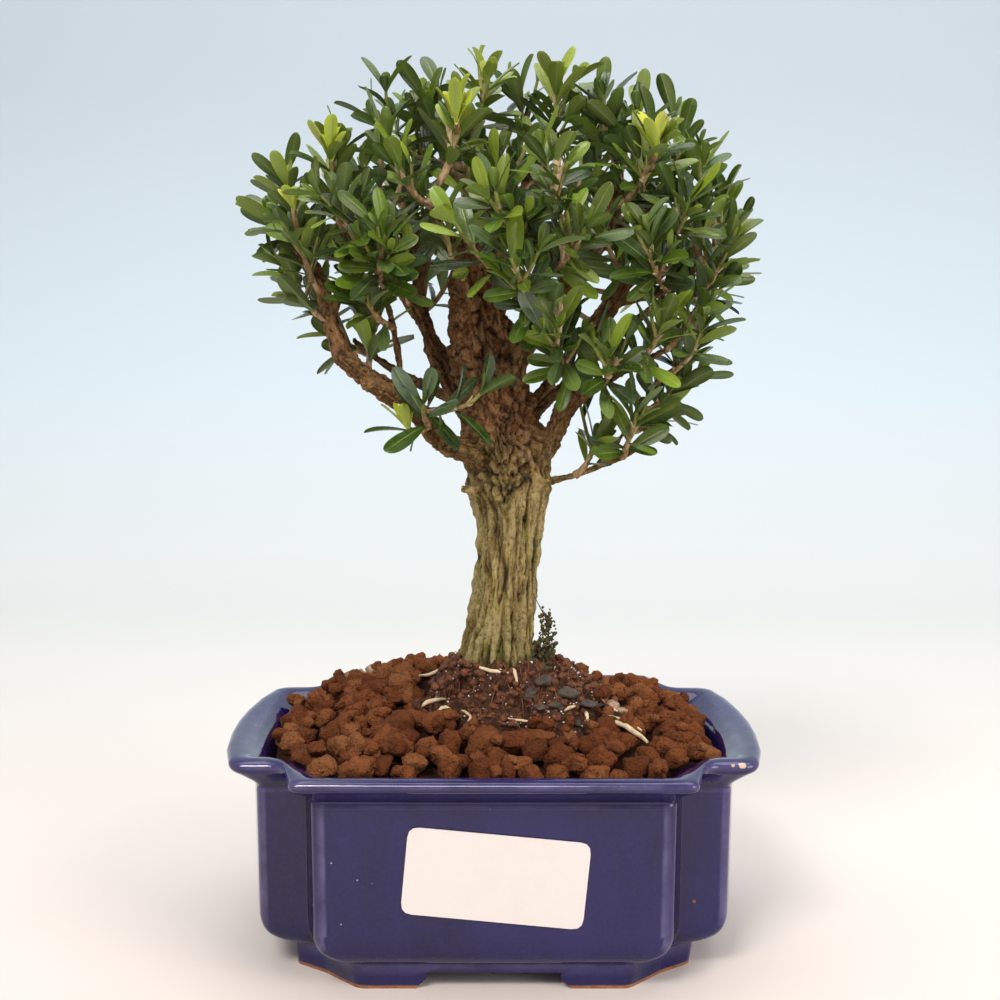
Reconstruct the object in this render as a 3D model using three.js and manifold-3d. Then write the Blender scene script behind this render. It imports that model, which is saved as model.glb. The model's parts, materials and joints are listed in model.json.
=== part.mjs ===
// A harland boxwood bonsai in a glazed pot with indented corners.
// Millimetres, +Z up, the front towards -Y. The origin is on the surface under the feet, below the middle.
import * as THREE from "three";
import { mergeVertices } from "three/addons/utils/BufferGeometryUtils.js";
import Module from "manifold-3d";

const wasm = await Module();
wasm.setup();

const CLEARANCE = 0.3; // left between pieces that lie against each other

// The pot's plans. side and front are half sizes at the middle of a wall, bow is how far a side falls back at
// its ends, frontEnd and lobeEnd are where the walls stop, and the notch lies between those ends.
// rounding has the radii of the side's corner, the notch and the front's corner.
const FOOT_PLAN = {
  side: 57.5, bow: 1.5, front: 47.5, frontEnd: 37.5, lobeEnd: 32.3,
  notch: [47, 37.8], rounding: [3, 6, 5],
};
const WALL_PLAN = {
  side: 69.8, bow: 4.4, front: 52.3, frontEnd: 48.4, lobeEnd: 38.8,
  notch: [51.6, 37.9], rounding: [4, 1.2, 3.5],
};
const RIM_PLAN = {
  side: 77.7, bow: 5.2, front: 59.8, frontEnd: 53.2, lobeEnd: 42.5,
  notch: [57, 42.5], rounding: [6, 7, 3],
};
const MOUTH_PLAN = {
  side: 72.3, bow: 4.2, front: 53.7, frontEnd: 47, lobeEnd: 34.4,
  notch: [60.5, 35.6], rounding: [4, 6, 6],
};
const INSIDE_PLAN = {
  side: 64.5, bow: 3.5, front: 47.6, frontEnd: 43.5, lobeEnd: 31.3,
  notch: [49.5, 32.3], rounding: [4, 5, 5],
};
const FLOOR_PLAN = {
  side: 57, bow: 1.8, front: 41.5, frontEnd: 37, lobeEnd: 26.3,
  notch: [43, 28.3], rounding: [4, 5, 5],
};

const FOOT_HEIGHT = 4.6;
const WALL_LOW = 16;
const WALL_HIGH = 52.4;
const WALL_TAPER = 0.965; // share of the way from foot to wall plan that the wall has reached at its low end
const FLOOR_TOP = 10;
const INSIDE_LOW = 20;
const INSIDE_TOP = 57;
const INSIDE_TAPER = 0.3;
const COVE_TOP = 60.2; // the hollow under the mouth runs from here down to the top of the inside wall
const COVE_SHARE = [0.25, 0.9]; // how far the hollow has come from the mouth to the inside, at its two ends
const RIM_TOP = 62;
// Up the outside, over the rim and down the inside: [height, plan, next plan, share of the way between them].
const POT_LEVELS = [
  [0, FOOT_PLAN, WALL_PLAN, -0.06],
  [7, FOOT_PLAN, WALL_PLAN, 0.05],
  [8.5, FOOT_PLAN, WALL_PLAN, 0.44],
  [10.6, FOOT_PLAN, WALL_PLAN, 0.75],
  [13, FOOT_PLAN, WALL_PLAN, 0.9],
  [WALL_LOW, FOOT_PLAN, WALL_PLAN, WALL_TAPER],
  [WALL_HIGH, FOOT_PLAN, WALL_PLAN, 1],
  [54, WALL_PLAN, RIM_PLAN, -0.06],
  [57.4, WALL_PLAN, RIM_PLAN, 0.62],
  [58.8, WALL_PLAN, RIM_PLAN, 0.95],
  [60.8, WALL_PLAN, RIM_PLAN, 1],
  [RIM_TOP, RIM_PLAN, MOUTH_PLAN, 0.3],
  [RIM_TOP - 0.4, RIM_PLAN, MOUTH_PLAN, 0.85],
  [COVE_TOP, MOUTH_PLAN, INSIDE_PLAN, COVE_SHARE[0]],
  [INSIDE_TOP, MOUTH_PLAN, INSIDE_PLAN, COVE_SHARE[1]],
  [INSIDE_LOW, INSIDE_PLAN, FLOOR_PLAN, INSIDE_TAPER],
  [FLOOR_TOP, INSIDE_PLAN, FLOOR_PLAN, 1],
];
const RECESS_HALF = [48, 38.3]; // hollow under the floor, inside the feet
const RECESS_CHAMFER = 16;
const FRONT_GAP_HALF = [18.3, 21.2]; // half the gap between two feet, at the floor band and at the sole
const SIDE_GAP_HALF = [13, 16];
const DRAIN_X = 28;
const DRAIN_RADIUS = 6;

const SCREEN = { side: 20, thickness: 1, bars: 3, bar: 2.4 };
const LABEL = { width: 48.8, height: 24, corner: 3, thickness: 0.3, x: 0.5, z: 33.3, tilt: 5.4 };

const GRANULE_PITCH = 11.2;
const GRANULE_HEIGHT = [2.6, 4.6];
const GRANULE_TOP_SHARE = 0.56; // width of a granule's flat top against its foot
const GRANULE_FIELD = [75, 54]; // half sizes of the relief before it is cut to the inside of the pot
const SOIL_EDGE_Z = 58;
const HEAP = { height: 14.4, rightShare: 0.6, frontY: -52, ridgeY: 12, backY: 60, sideX: 63 };

// The root ball by height: [z, centre x, centre y, half width, half depth].
const MOUND_RINGS = [
  [17, 3, 1, 13, 11],
  [30, 3, 1, 25, 20],
  [60, 8, 1, 32, 27],
  [67.5, 8, 0.5, 29.5, 22.5],
  [75, 5.6, 0.5, 24, 17],
  [80, 3.4, 0.5, 18, 13],
  [82.3, 2, 0.5, 13, 11.5],
];
const MOUND_SIDES = 14;
const ROOT_RADIUS = [1.5, 0.9];
const SURFACE_ROOTS = [
  [[-4, -9, 81], [-10, -12, 78.5], [-17, -14, 75], [-24, -16, 69]],
  [[0, -10, 82.5], [4, -13, 78.5], [9, -18, 73.5], [12, -23, 68]],
  [[14, -5, 80.5], [21, -8, 77], [29, -11, 73], [36, -14, 67]],
  [[15, 6, 81], [24, 9, 77], [34, 9, 70.5]],
];
const MOUND_LUMPS = [
  [20, -9, 76.5, 3.6], [27, -4, 74.5, 3.2], [15.6, -3, 83.5, 3.2], [16.4, -2, 87.5, 2.5],
];

// The trunk and the corky head that it grows into: [z, centre x, centre y, radius].
const TRUNK_RINGS = [
  [60, 1.5, 1, 5.5], [72, 1.3, 1, 12.2], [83, 1.2, 0.6, 11.2], [93, 2.4, 0.3, 9.8], [106, 3.6, 0, 9.4],
  [122, 5, 0, 9.3], [131, 4.6, 0, 11.6], [141, 4.2, 0.5, 12.4], [152, 2.2, 1.2, 12.2], [166, -1.2, 0.6, 11.4],
  [179, -3.6, -0.4, 10.4], [190, -6, -2, 7.8], [199, -7.7, -3.8, 5.4], [205, -8.2, -5, 3.4],
];
const TRUNK_SIDES = 14;
const FLUTES = [[5, 0.09, 0.021], [7, 0.06, -0.034]]; // lobes, depth, twist per mm

// Limbs and twigs: radius at the start and at the end, then the points they pass through.
const LIMBS = {
  left: [4.7, 2.6, [0, 0, 135], [-7, -7, 143], [-15, -10, 147], [-21, -12, 154], [-30, -13, 161],
    [-37, -13, 165.5], [-43, -13, 171], [-46, -13, 179], [-49, -13, 190], [-53, -14, 199]],
  left_fork: [1.7, 1.1, [-46, -13, 181], [-43, -15, 190], [-41, -17, 199], [-42, -18, 209]],
  left_inner: [2.2, 1.3, [-3, -2, 150], [-13, -6, 159], [-21, -7, 163], [-28, -6, 166], [-35, -2, 171],
    [-42, 4, 176]],
  left_twig: [1.3, 1.1, [-27, -6, 164.5], [-28, -9, 174], [-30.5, -11, 186], [-32, -12, 198],
    [-31, -12, 210]],
  rising_left: [3.6, 2.1, [-3, 4, 146], [-13, 11, 162], [-19, 14, 173], [-22, 15, 185], [-24, 16, 197],
    [-25, 17, 210]],
  left_rear_twig: [1.5, 1.1, [-22, 15, 184], [-29, 14, 193], [-36, 12, 204], [-46, 10, 212]],
  front_left: [1.7, 1.1, [-4, -6, 180], [-9, -14, 194], [-13, -18, 207], [-16, -21, 218]],
  front_right: [1.8, 1.1, [4, -6, 170], [11, -13, 186], [15, -18, 198], [20, -21, 212]],
  middle_right: [3.2, 1.6, [3, -2, 150], [7, -7, 168], [12, -10, 184], [22, -12, 194], [31, -12, 206],
    [35, -11, 220]],
  right: [4.1, 2.3, [8, 0, 133], [16, -4, 146], [22, -6, 159], [28, -9, 174], [33, -11, 185],
    [41, -13, 197], [45, -14, 208]],
  right_fork: [1.6, 1.1, [34, -11.5, 186], [43, -14, 188], [51, -16, 191], [58, -16, 197]],
  right_low: [1.8, 1.2, [10, 0, 133], [22, -4, 136], [30, -6, 139], [37, -7, 142], [43, -9, 146]],
  right_low_twig: [1.2, 1, [29, -6, 139], [35, -8, 146], [42, -9, 155], [47, -9, 165]],
  right_middle: [1.8, 1.2, [18, -4, 154], [30, -10, 163], [38, -14, 168], [48, -17, 173]],
  right_rear: [2.6, 1.4, [4, 3, 146], [15, 6, 157], [27, 8, 169], [39, 12, 179], [52, 15, 189],
    [59, 15, 198]],
  rising_right: [2.8, 1.5, [2, 3, 160], [13, 5, 179], [24, 8, 194], [34, 11, 206], [44, 12, 217]],
  rear_left: [3.2, 1.5, [1, 4, 143], [-6, 14, 158], [-16, 22, 172], [-27, 30, 187], [-36, 35, 202]],
  rear_right: [3, 1.5, [5, 4, 143], [13, 15, 158], [23, 24, 172], [34, 31, 186], [42, 35, 201]],
  rear_middle: [3.1, 1.4, [0, 5, 152], [0, 18, 170], [1, 27, 188], [0, 33, 206], [1, 35, 220]],
  top_left: [2.1, 1.1, [-7, -3, 192], [-9, -1, 208], [-8, 1, 222], [-6, 2, 237]],
  top_right: [1.7, 1.1, [-5, 0, 186], [2, 3, 202], [8, 4, 218], [12, 3, 234]],
};
const KNOBBLE = 0.1; // share by which a limb's radius swells and shrinks along its length

// Short cut stubs on the bark: foot, direction, length and radius.
const STUBS = [
  [[-3, -8, 131], [-0.8, -0.5, 0.3], 8, 2.2], [[12, -7, 134], [0.6, -0.7, 0.3], 6.5, 2],
  [[2, -8, 152], [-0.2, -0.9, 0.3], 7, 2.2], [[-9, -6, 170], [-0.8, -0.5, 0.4], 6, 1.8],
  [[45, -14, 206], [0.5, -0.1, 0.9], 6, 2.1], [[-52.5, -14, 197], [-0.6, 0, 0.8], 6, 2],
  [[27, -8, 171], [0.9, -0.4, 0.1], 6, 1.7],
];

// Shoot tips that stand out in the crown, then how the rest is spread over its back, its gaps and its inside.
const SHOOT_TIPS = [
  [-59, -8, 219], [-54, -20, 203], [-45, -18, 224], [-65, 4, 213], [-58, -7, 195], [-51, 4, 184],
  [-35, 0, 239], [-41, -28, 212], [-26, -28, 224], [-29, -34, 203], [-19, -5, 241], [-10, -21, 235],
  [-3, -6, 248], [7, 9, 247], [17, -8, 247], [16, -32, 222], [0, -40, 214], [30, -4, 243],
  [40, -13, 238], [42, -29, 227], [54, 2, 234], [59, -9, 225], [52, -27, 213], [65, -3, 214],
  [66, -15, 203], [66, 0, 196], [41, -36, 203], [60, -14, 184], [46, -26, 180], [55, -2, 169],
  [40, -18, 156], [31, -29, 171], [17, -31, 179], [4, -41, 197], [29, -9, 147], [-35, -6, 181],
  [-20, -24, 158], [-37, -22, 193], [-4, -25, 161], [24, -37, 205], [51, 0, 156],
];
const CROWN_MIDDLE = [2, 1, 203];
const CROWN_HALF = [64, 48, 48];
const INNER_SHARE = 0.7; // every other ruled tip is on a smaller dome inside the crown
const RULED_TIPS = 160; // candidates, of which those far enough from all others are kept
const TIP_SPACING = 20;
const MOST_SPRAYS = 54;
const CROWN_LIMIT = [77.5, 59.6, 260.4]; // half width, half depth and height that no leaf passes
const GOLDEN_ANGLE = Math.PI * (3 - Math.sqrt(5));

const LEAF = { length: 15.6, width: 5.1, thickness: 0.9, arch: 0.16, widest: 0.66, tip: 0.45 };
const LEAF_LEAN = [0.36, 0.88]; // angle to the stem of the first pair and of the third and later ones
const PAIRS = 6;
const PAIR_SPACING = 4.7;
const SHOOT_BEND = { across: 0.66, up: 0.34, sag: 0.12 }; // where a stem bends, as shares of its way
const STEM_RADIUS = [1.2, 0.7];
const STEM_SIDES = 4;
const STEM_STEPS = 2;
const STEM_SAMPLES = 10;
const STEM_APART = 3.6; // least distance between the samples of two stems
const STEM_OFF_WOOD = 1.6; // least distance from a stem's outer half to the surface of any limb

// A number from 0 to 1 that is always the same for the same three keys.
function chance(a, b = 0, c = 0) {
  const wave = Math.sin(a * 12.9898 + b * 78.233 + c * 37.719 + 4.1) * 43758.5453;
  return wave - Math.floor(wave);
}

function between(low, high, share) {
  return low + (high - low) * share;
}

function vector([x, y, z]) {
  return new THREE.Vector3(x, y, z);
}

// Solids and geometry

function solidOf(geometry) {
  const bare = new THREE.BufferGeometry().setAttribute("position", geometry.getAttribute("position"));
  bare.setIndex(geometry.index);
  const merged = mergeVertices(bare, 1e-4);
  const vertProperties = merged.getAttribute("position").array;
  return new wasm.Manifold(
    new wasm.Mesh({ numProp: 3, vertProperties, triVerts: new Uint32Array(merged.index.array) }),
  );
}

function geometryOf(solid) {
  const mesh = solid.getMesh();
  const geometry = new THREE.BufferGeometry();
  geometry.setAttribute("position", new THREE.BufferAttribute(new Float32Array(mesh.vertProperties), 3));
  geometry.setIndex(new THREE.BufferAttribute(new Uint32Array(mesh.triVerts), 1));
  geometry.computeVertexNormals();
  return geometry;
}

function largestBody(solid) {
  return solid.decompose().reduce((best, body) => (body.volume() > best.volume() ? body : best));
}

function solidOfFaces(points, index) {
  return solidOf(new THREE.BufferGeometry().setFromPoints(points).setIndex(index));
}

// Skin over rings of equal count that run the same way round, closed by a fan at each end.
function loft(rings) {
  const count = rings[0].length;
  const points = rings.flat();
  const index = [];
  for (let r = 0; r + 1 < rings.length; r++) {
    for (let i = 0; i < count; i++) {
      const a = r * count + i;
      const b = r * count + ((i + 1) % count);
      index.push(a, b, b + count, a, b + count, a + count);
    }
  }
  const fan = (first, ring, turned) => {
    const middle = points.length;
    points.push(ring.reduce((sum, p) => sum.add(p), new THREE.Vector3()).divideScalar(count));
    for (let i = 0; i < count; i++) {
      const a = first + i;
      const b = first + ((i + 1) % count);
      index.push(middle, turned ? b : a, turned ? a : b);
    }
  };
  fan(0, rings[0], true);
  fan((rings.length - 1) * count, rings[rings.length - 1], false);
  return solidOfFaces(points, index);
}

// A tube through the points, with a radius for each of them.
function tube(points, radii, sides) {
  let across = new THREE.Vector3(0.31, 0.95, 0.02);
  const rings = points.map((point, i) => {
    const before = points[Math.max(i - 1, 0)];
    const after = points[Math.min(i + 1, points.length - 1)];
    const along = after.clone().sub(before).normalize();
    across = across.clone().addScaledVector(along, -across.dot(along)).normalize();
    const other = along.clone().cross(across);
    return Array.from({ length: sides }, (_, k) => {
      const angle = (2 * Math.PI * k) / sides;
      return point.clone()
        .addScaledVector(across, radii[i] * Math.cos(angle))
        .addScaledVector(other, radii[i] * Math.sin(angle));
    });
  });
  return loft(rings);
}

function extruded(shape, depth, place) {
  const geometry = new THREE.ExtrudeGeometry(shape, { depth, bevelEnabled: false, curveSegments: 3 });
  return solidOf(geometry.applyMatrix4(place));
}

// Pot

// A corner rounded by an arc, as points from the first wall to the second.
function roundedCorner(before, corner, after, radius) {
  const into = corner.clone().sub(before).normalize();
  const out = after.clone().sub(corner).normalize();
  const turn = Math.abs(Math.atan2(into.cross(out), into.dot(out)));
  const reach = radius * Math.tan(turn / 2);
  const start = corner.clone().addScaledVector(into, -reach);
  const end = corner.clone().addScaledVector(out, reach);
  return new THREE.QuadraticBezierCurve(start, corner, end).getPoints(2);
}

// One quarter of the outline, from the middle of a side to the middle of the front or back.
function quarterOutline(plan, inset) {
  const side = plan.side - inset;
  const lobe = plan.lobeEnd - inset;
  const front = plan.front - inset;
  const points = [
    [side, 0], [side - plan.bow, lobe], [plan.notch[0] - inset, plan.notch[1] - inset],
    [plan.frontEnd - inset, front], [0, front],
  ].map(([x, y]) => new THREE.Vector2(x, y));
  const outline = [points[0], new THREE.Vector2(side - plan.bow * 0.3, lobe * 0.55)];
  for (let i = 1; i <= 3; i++) {
    outline.push(...roundedCorner(points[i - 1], points[i], points[i + 1], plan.rounding[i - 1]));
  }
  return outline;
}

function ringAt(z, plan, inset = 0) {
  const quarter = quarterOutline(plan, inset);
  const mirrored = (flipX, flipY, reverse) => {
    const part = quarter.map((p) => new THREE.Vector3(flipX ? -p.x : p.x, flipY ? -p.y : p.y, z));
    return reverse ? part.reverse() : part;
  };
  return [
    ...mirrored(false, false, false), ...mirrored(true, false, true).slice(0, -1),
    ...mirrored(true, true, false), ...mirrored(false, true, true).slice(0, -1),
  ];
}

function blendedPlan(from, to, share) {
  const mix = (key) => between(from[key], to[key], share);
  return {
    side: mix("side"), bow: mix("bow"), lobeEnd: mix("lobeEnd"),
    front: mix("front"), frontEnd: mix("frontEnd"),
    notch: from.notch.map((value, i) => between(value, to.notch[i], share)),
    rounding: from.rounding.map((value, i) => between(value, to.rounding[i], share)),
  };
}

function potShell() {
  return loft(POT_LEVELS.map(([z, from, to, share]) => ringAt(z, blendedPlan(from, to, share))));
}

// The hollow inside the feet and the four gaps between them.
function underside() {
  const [x, y] = RECESS_HALF;
  const cut = RECESS_CHAMFER;
  const recess = new THREE.Shape([
    [x, cut - y], [x, y - cut], [x - cut, y], [cut - x, y],
    [-x, y - cut], [-x, cut - y], [cut - x, -y], [x - cut, -y],
  ].map(([a, b]) => new THREE.Vector2(a, b)));
  const below = -2;
  const gap = ([top, sole]) => {
    const slope = (sole - top) / FOOT_HEIGHT;
    const low = sole - slope * below;
    return new THREE.Shape([
      new THREE.Vector2(-low, below), new THREE.Vector2(low, below),
      new THREE.Vector2(top, FOOT_HEIGHT), new THREE.Vector2(-top, FOOT_HEIGHT),
    ]);
  };
  const reach = 70;
  const alongY = new THREE.Matrix4().makeRotationX(Math.PI / 2).setPosition(0, reach, 0);
  const quarterTurn = new THREE.Matrix4().makeRotationZ(Math.PI / 2);
  return wasm.Manifold.union([
    extruded(recess, FOOT_HEIGHT - below, new THREE.Matrix4().makeTranslation(0, 0, below)),
    extruded(gap(FRONT_GAP_HALF), 2 * reach, alongY),
    extruded(gap(SIDE_GAP_HALF), 2 * reach, alongY.clone().premultiply(quarterTurn)),
  ]);
}

function drainHole(x) {
  const hole = new THREE.CylinderGeometry(DRAIN_RADIUS, DRAIN_RADIUS, 2 * FLOOR_TOP, 12);
  return solidOf(hole.rotateX(Math.PI / 2).translate(x, 0, FLOOR_TOP / 2));
}

function pot() {
  return potShell().subtract(wasm.Manifold.union([underside(), drainHole(-DRAIN_X), drainHole(DRAIN_X)]));
}

// Drain screens and label

// Crossed bars, flush on both faces.
function screen() {
  const { side, thickness, bars, bar } = SCREEN;
  const strips = [];
  for (let i = 0; i < bars; i++) {
    const offset = (i / (bars - 1) - 0.5) * (side - bar);
    const strip = new THREE.BoxGeometry(bar, side, thickness).translate(offset, 0, thickness / 2);
    strips.push(solidOf(strip), solidOf(strip.clone().rotateZ(Math.PI / 2)));
  }
  return wasm.Manifold.union(strips);
}

function label() {
  const { width, height, corner } = LABEL;
  const shape = new THREE.Shape();
  shape.moveTo(corner - width / 2, -height / 2);
  shape.lineTo(width / 2 - corner, -height / 2);
  shape.quadraticCurveTo(width / 2, -height / 2, width / 2, corner - height / 2);
  shape.lineTo(width / 2, height / 2 - corner);
  shape.quadraticCurveTo(width / 2, height / 2, width / 2 - corner, height / 2);
  shape.lineTo(corner - width / 2, height / 2);
  shape.quadraticCurveTo(-width / 2, height / 2, -width / 2, height / 2 - corner);
  shape.lineTo(-width / 2, corner - height / 2);
  shape.quadraticCurveTo(-width / 2, -height / 2, corner - width / 2, -height / 2);
  return extruded(shape, LABEL.thickness, new THREE.Matrix4());
}

// Soil

// Rising evenly from the front to a ridge behind the middle, falling away to the back and the sides, and
// lower on the right than on the left.
function soilHeight(x, y) {
  const rise = THREE.MathUtils.clamp((y - HEAP.frontY) / (HEAP.ridgeY - HEAP.frontY), 0, 1);
  const fall = Math.max(0, y - HEAP.ridgeY) / (HEAP.backY - HEAP.ridgeY);
  const side = 1 - Math.min(1, Math.abs(x) / HEAP.sideX) ** 3;
  const lower = y > 0 ? between(1, HEAP.rightShare, THREE.MathUtils.smoothstep(x, 0, 25)) : 1;
  return SOIL_EDGE_Z + HEAP.height * lower * rise * Math.max(0, 1 - fall ** 2) * side;
}

// Where four granules meet.
function granuleCorner(i, j, columns, rows) {
  const rowShift = (j % 2) * 0.3;
  const x = (i - columns / 2 + rowShift + between(-0.2, 0.2, chance(i, j, 1))) * GRANULE_PITCH;
  const y = (j - rows / 2 + between(-0.2, 0.2, chance(i, j, 2))) * GRANULE_PITCH;
  return new THREE.Vector3(x, y, soilHeight(x, y) + between(-0.6, 0.6, chance(i, j, 3)));
}

// The tilted flat top of the granule between four corners.
function granuleTop(corners, i, j) {
  const middle = corners.reduce((sum, p) => sum.add(p), new THREE.Vector3()).divideScalar(4);
  const height = between(...GRANULE_HEIGHT, chance(i, j, 4));
  return corners.map((p, k) => {
    const share = GRANULE_TOP_SHARE + between(-0.12, 0.12, chance(i, j, 5 + k));
    const top = middle.clone().lerp(p, share);
    top.z = middle.z + height * between(0.72, 1.1, chance(i, j, 9 + k));
    return top;
  });
}

// Granules side by side as a relief: each is a tilted flat top over four slopes down to its neighbours.
function granules([halfX, halfY], below) {
  const columns = Math.ceil((2 * halfX) / GRANULE_PITCH);
  const rows = Math.ceil((2 * halfY) / GRANULE_PITCH);
  const points = [];
  const index = [];
  const add = (p) => points.push(p) - 1;
  const lattice = Array.from({ length: rows + 1 }, (_, j) =>
    Array.from({ length: columns + 1 }, (_, i) => {
      const p = granuleCorner(i, j, columns, rows);
      return { p, upper: add(p), lower: add(new THREE.Vector3(p.x, p.y, below)) };
    }));
  const wall = (a, b) => index.push(a.upper, a.lower, b.lower, a.upper, b.lower, b.upper);
  for (let j = 0; j < rows; j++) {
    for (let i = 0; i < columns; i++) {
      const ring = [lattice[j][i], lattice[j][i + 1], lattice[j + 1][i + 1], lattice[j + 1][i]];
      const top = granuleTop(ring.map(({ p }) => p), i, j).map(add);
      ring.forEach(({ upper }, k) => {
        const next = (k + 1) % 4;
        index.push(upper, ring[next].upper, top[next], upper, top[next], top[k]);
      });
      index.push(top[0], top[1], top[2], top[0], top[2], top[3]);
      const [a, b, c, d] = ring.map(({ lower }) => lower);
      index.push(a, c, b, a, d, c);
    }
  }
  for (let i = 0; i < columns; i++) {
    wall(lattice[0][i], lattice[0][i + 1]);
    wall(lattice[rows][i + 1], lattice[rows][i]);
  }
  for (let j = 0; j < rows; j++) {
    wall(lattice[j + 1][0], lattice[j][0]);
    wall(lattice[j][columns], lattice[j + 1][columns]);
  }
  return solidOfFaces(points, index);
}

function screenHollow(x) {
  const side = SCREEN.side + 2 * CLEARANCE;
  const height = 2 * (SCREEN.thickness + 2 * CLEARANCE);
  return solidOf(new THREE.BoxGeometry(side, side, height).translate(x, 0, FLOOR_TOP));
}

function soil() {
  const inset = CLEARANCE + 0.1; // a little more, because an inset corner comes nearer than its walls
  const below = (z, share) => ringAt(z, blendedPlan(INSIDE_PLAN, FLOOR_PLAN, share), inset);
  const under = (z, share) => ringAt(z, blendedPlan(MOUTH_PLAN, INSIDE_PLAN, share), 3 * inset);
  const inside = loft([
    below(FLOOR_TOP + CLEARANCE, 1), below(INSIDE_LOW, INSIDE_TAPER), under(INSIDE_TOP, COVE_SHARE[1]),
    under(COVE_TOP, COVE_SHARE[0]), under(2 * RIM_TOP, COVE_SHARE[0]),
  ]);
  const hollows = wasm.Manifold.union([rootMound(CLEARANCE), screenHollow(-DRAIN_X), screenHollow(DRAIN_X)]);
  return largestBody(granules(GRANULE_FIELD, FLOOR_TOP / 2).intersect(inside).subtract(hollows));
}

// Root mound

function rootMound(extra) {
  const rings = MOUND_RINGS.map(([z, x, y, halfWidth, halfDepth], r) =>
    Array.from({ length: MOUND_SIDES }, (_, k) => {
      const angle = (2 * Math.PI * k) / MOUND_SIDES;
      const rough = between(0.93, 1.05, chance(r, k, 21));
      return new THREE.Vector3(
        x + (halfWidth * rough + extra) * Math.cos(angle),
        y + (halfDepth * rough + extra) * Math.sin(angle),
        z + (r === 0 ? -extra : between(-0.7, 0.7, chance(r, k, 22))),
      );
    }));
  const roots = SURFACE_ROOTS.map((points) => {
    const radii = points.map((_, i) => between(...ROOT_RADIUS, i / (points.length - 1)) + extra);
    return tube(points.map(vector), radii, 5);
  });
  const lumps = MOUND_LUMPS.map(([x, y, z, radius], i) => {
    const lump = new THREE.IcosahedronGeometry(radius + extra, 0);
    return solidOf(lump.rotateX(i).rotateZ(2 * i).scale(1, 1, 0.8).translate(x, y, z));
  });
  return wasm.Manifold.union([loft(rings), ...roots, ...lumps]);
}

// Tree

function trunk(extra) {
  return loft(TRUNK_RINGS.map(([z, x, y, radius], r) =>
    Array.from({ length: TRUNK_SIDES }, (_, k) => {
      const angle = (2 * Math.PI * k) / TRUNK_SIDES;
      const flute = FLUTES.reduce((sum, [lobes, depth, twist]) =>
        sum + depth * Math.cos(lobes * angle + twist * z), 1);
      const reach = radius * flute * between(0.96, 1.04, chance(r, k, 31)) + extra;
      return new THREE.Vector3(x + reach * Math.cos(angle), y + reach * Math.sin(angle), z);
    })));
}

function limb([startRadius, endRadius, ...points], extra, seed) {
  const sides = startRadius > 3 ? 6 : 5;
  const radii = points.map((_, i) => {
    const radius = between(startRadius, endRadius, i / (points.length - 1));
    return radius * between(1 - KNOBBLE, 1 + KNOBBLE, chance(seed, i, 41)) + extra;
  });
  return tube(points.map(vector), radii, sides);
}

function stub([foot, direction, length, radius], extra) {
  const start = vector(foot);
  const end = start.clone().addScaledVector(vector(direction).normalize(), length);
  return tube([start, end], [radius + extra, radius * 0.8 + extra], 5);
}

function tree(extra) {
  const limbs = Object.values(LIMBS).map((row, seed) => limb(row, extra, seed));
  return wasm.Manifold.union([trunk(extra), ...limbs, ...STUBS.map((row) => stub(row, extra))]);
}

// Leafy sprays

// Points every few millimetres along the limbs, each with the limb's radius and how far along it lies.
function limbPoints() {
  const spacing = 4;
  return Object.values(LIMBS).flatMap(([startRadius, endRadius, ...points]) => {
    const path = new THREE.CurvePath();
    points.slice(1).forEach((point, i) => path.add(new THREE.LineCurve3(vector(points[i]), vector(point))));
    const steps = Math.ceil(path.getLength() / spacing);
    return Array.from({ length: steps + 1 }, (_, i) => ({
      at: path.getPoint(i / steps),
      radius: between(startRadius, endRadius, i / steps),
      along: i / steps,
    }));
  });
}

// Where a shoot with this tip may leave the wood, the best place first: near the tip and below it.
function feetFor(tip, woodPoints) {
  const leastLength = 17;
  const apart = 6;
  const cost = (point) => {
    const distance = point.distanceTo(tip);
    const tooShort = Math.max(0, leastLength - distance) * 3;
    const tooHigh = Math.max(0, point.z - tip.z + 12) * 1.6;
    return distance + tooShort + tooHigh;
  };
  const outer = woodPoints.filter(({ along }) => along > 0.3).map(({ at }) => at);
  const feet = [];
  for (const point of outer.sort((a, b) => cost(a) - cost(b))) {
    if (feet.every((other) => other.distanceTo(point) > apart)) feet.push(point);
    if (feet.length === 5) break;
  }
  return feet;
}

function shootTips() {
  const tips = SHOOT_TIPS.map(vector);
  for (let i = 0; i < RULED_TIPS && tips.length < MOST_SPRAYS; i++) {
    const height = between(0.97, -0.4, (i + 0.5) / RULED_TIPS);
    const ringRadius = Math.sqrt(1 - height * height);
    const angle = i * GOLDEN_ANGLE;
    const share = i % 2 ? INNER_SHARE : 1;
    const tip = new THREE.Vector3(
      CROWN_MIDDLE[0] + CROWN_HALF[0] * share * ringRadius * Math.cos(angle),
      CROWN_MIDDLE[1] + CROWN_HALF[1] * share * ringRadius * Math.sin(angle),
      CROWN_MIDDLE[2] + CROWN_HALF[2] * share * height,
    );
    const bareFront = tip.y < -5 && tip.z < 192;
    if (!bareFront && tips.every((other) => other.distanceTo(tip) > TIP_SPACING)) tips.push(tip);
  }
  return tips;
}

// A shoot leaves the wood sideways and turns up towards its tip.
function shootPath(foot, tip, seed) {
  const length = foot.distanceTo(tip);
  const sway = (key) => 0.3 * length * (chance(seed, key, 51) - 0.5);
  const bend = new THREE.Vector3(
    between(foot.x, tip.x, SHOOT_BEND.across) + sway(1),
    between(foot.y, tip.y, SHOOT_BEND.across) + sway(2),
    between(foot.z, tip.z, SHOOT_BEND.up) - SHOOT_BEND.sag * length,
  );
  return new THREE.QuadraticBezierCurve3(foot, bend, tip);
}

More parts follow.
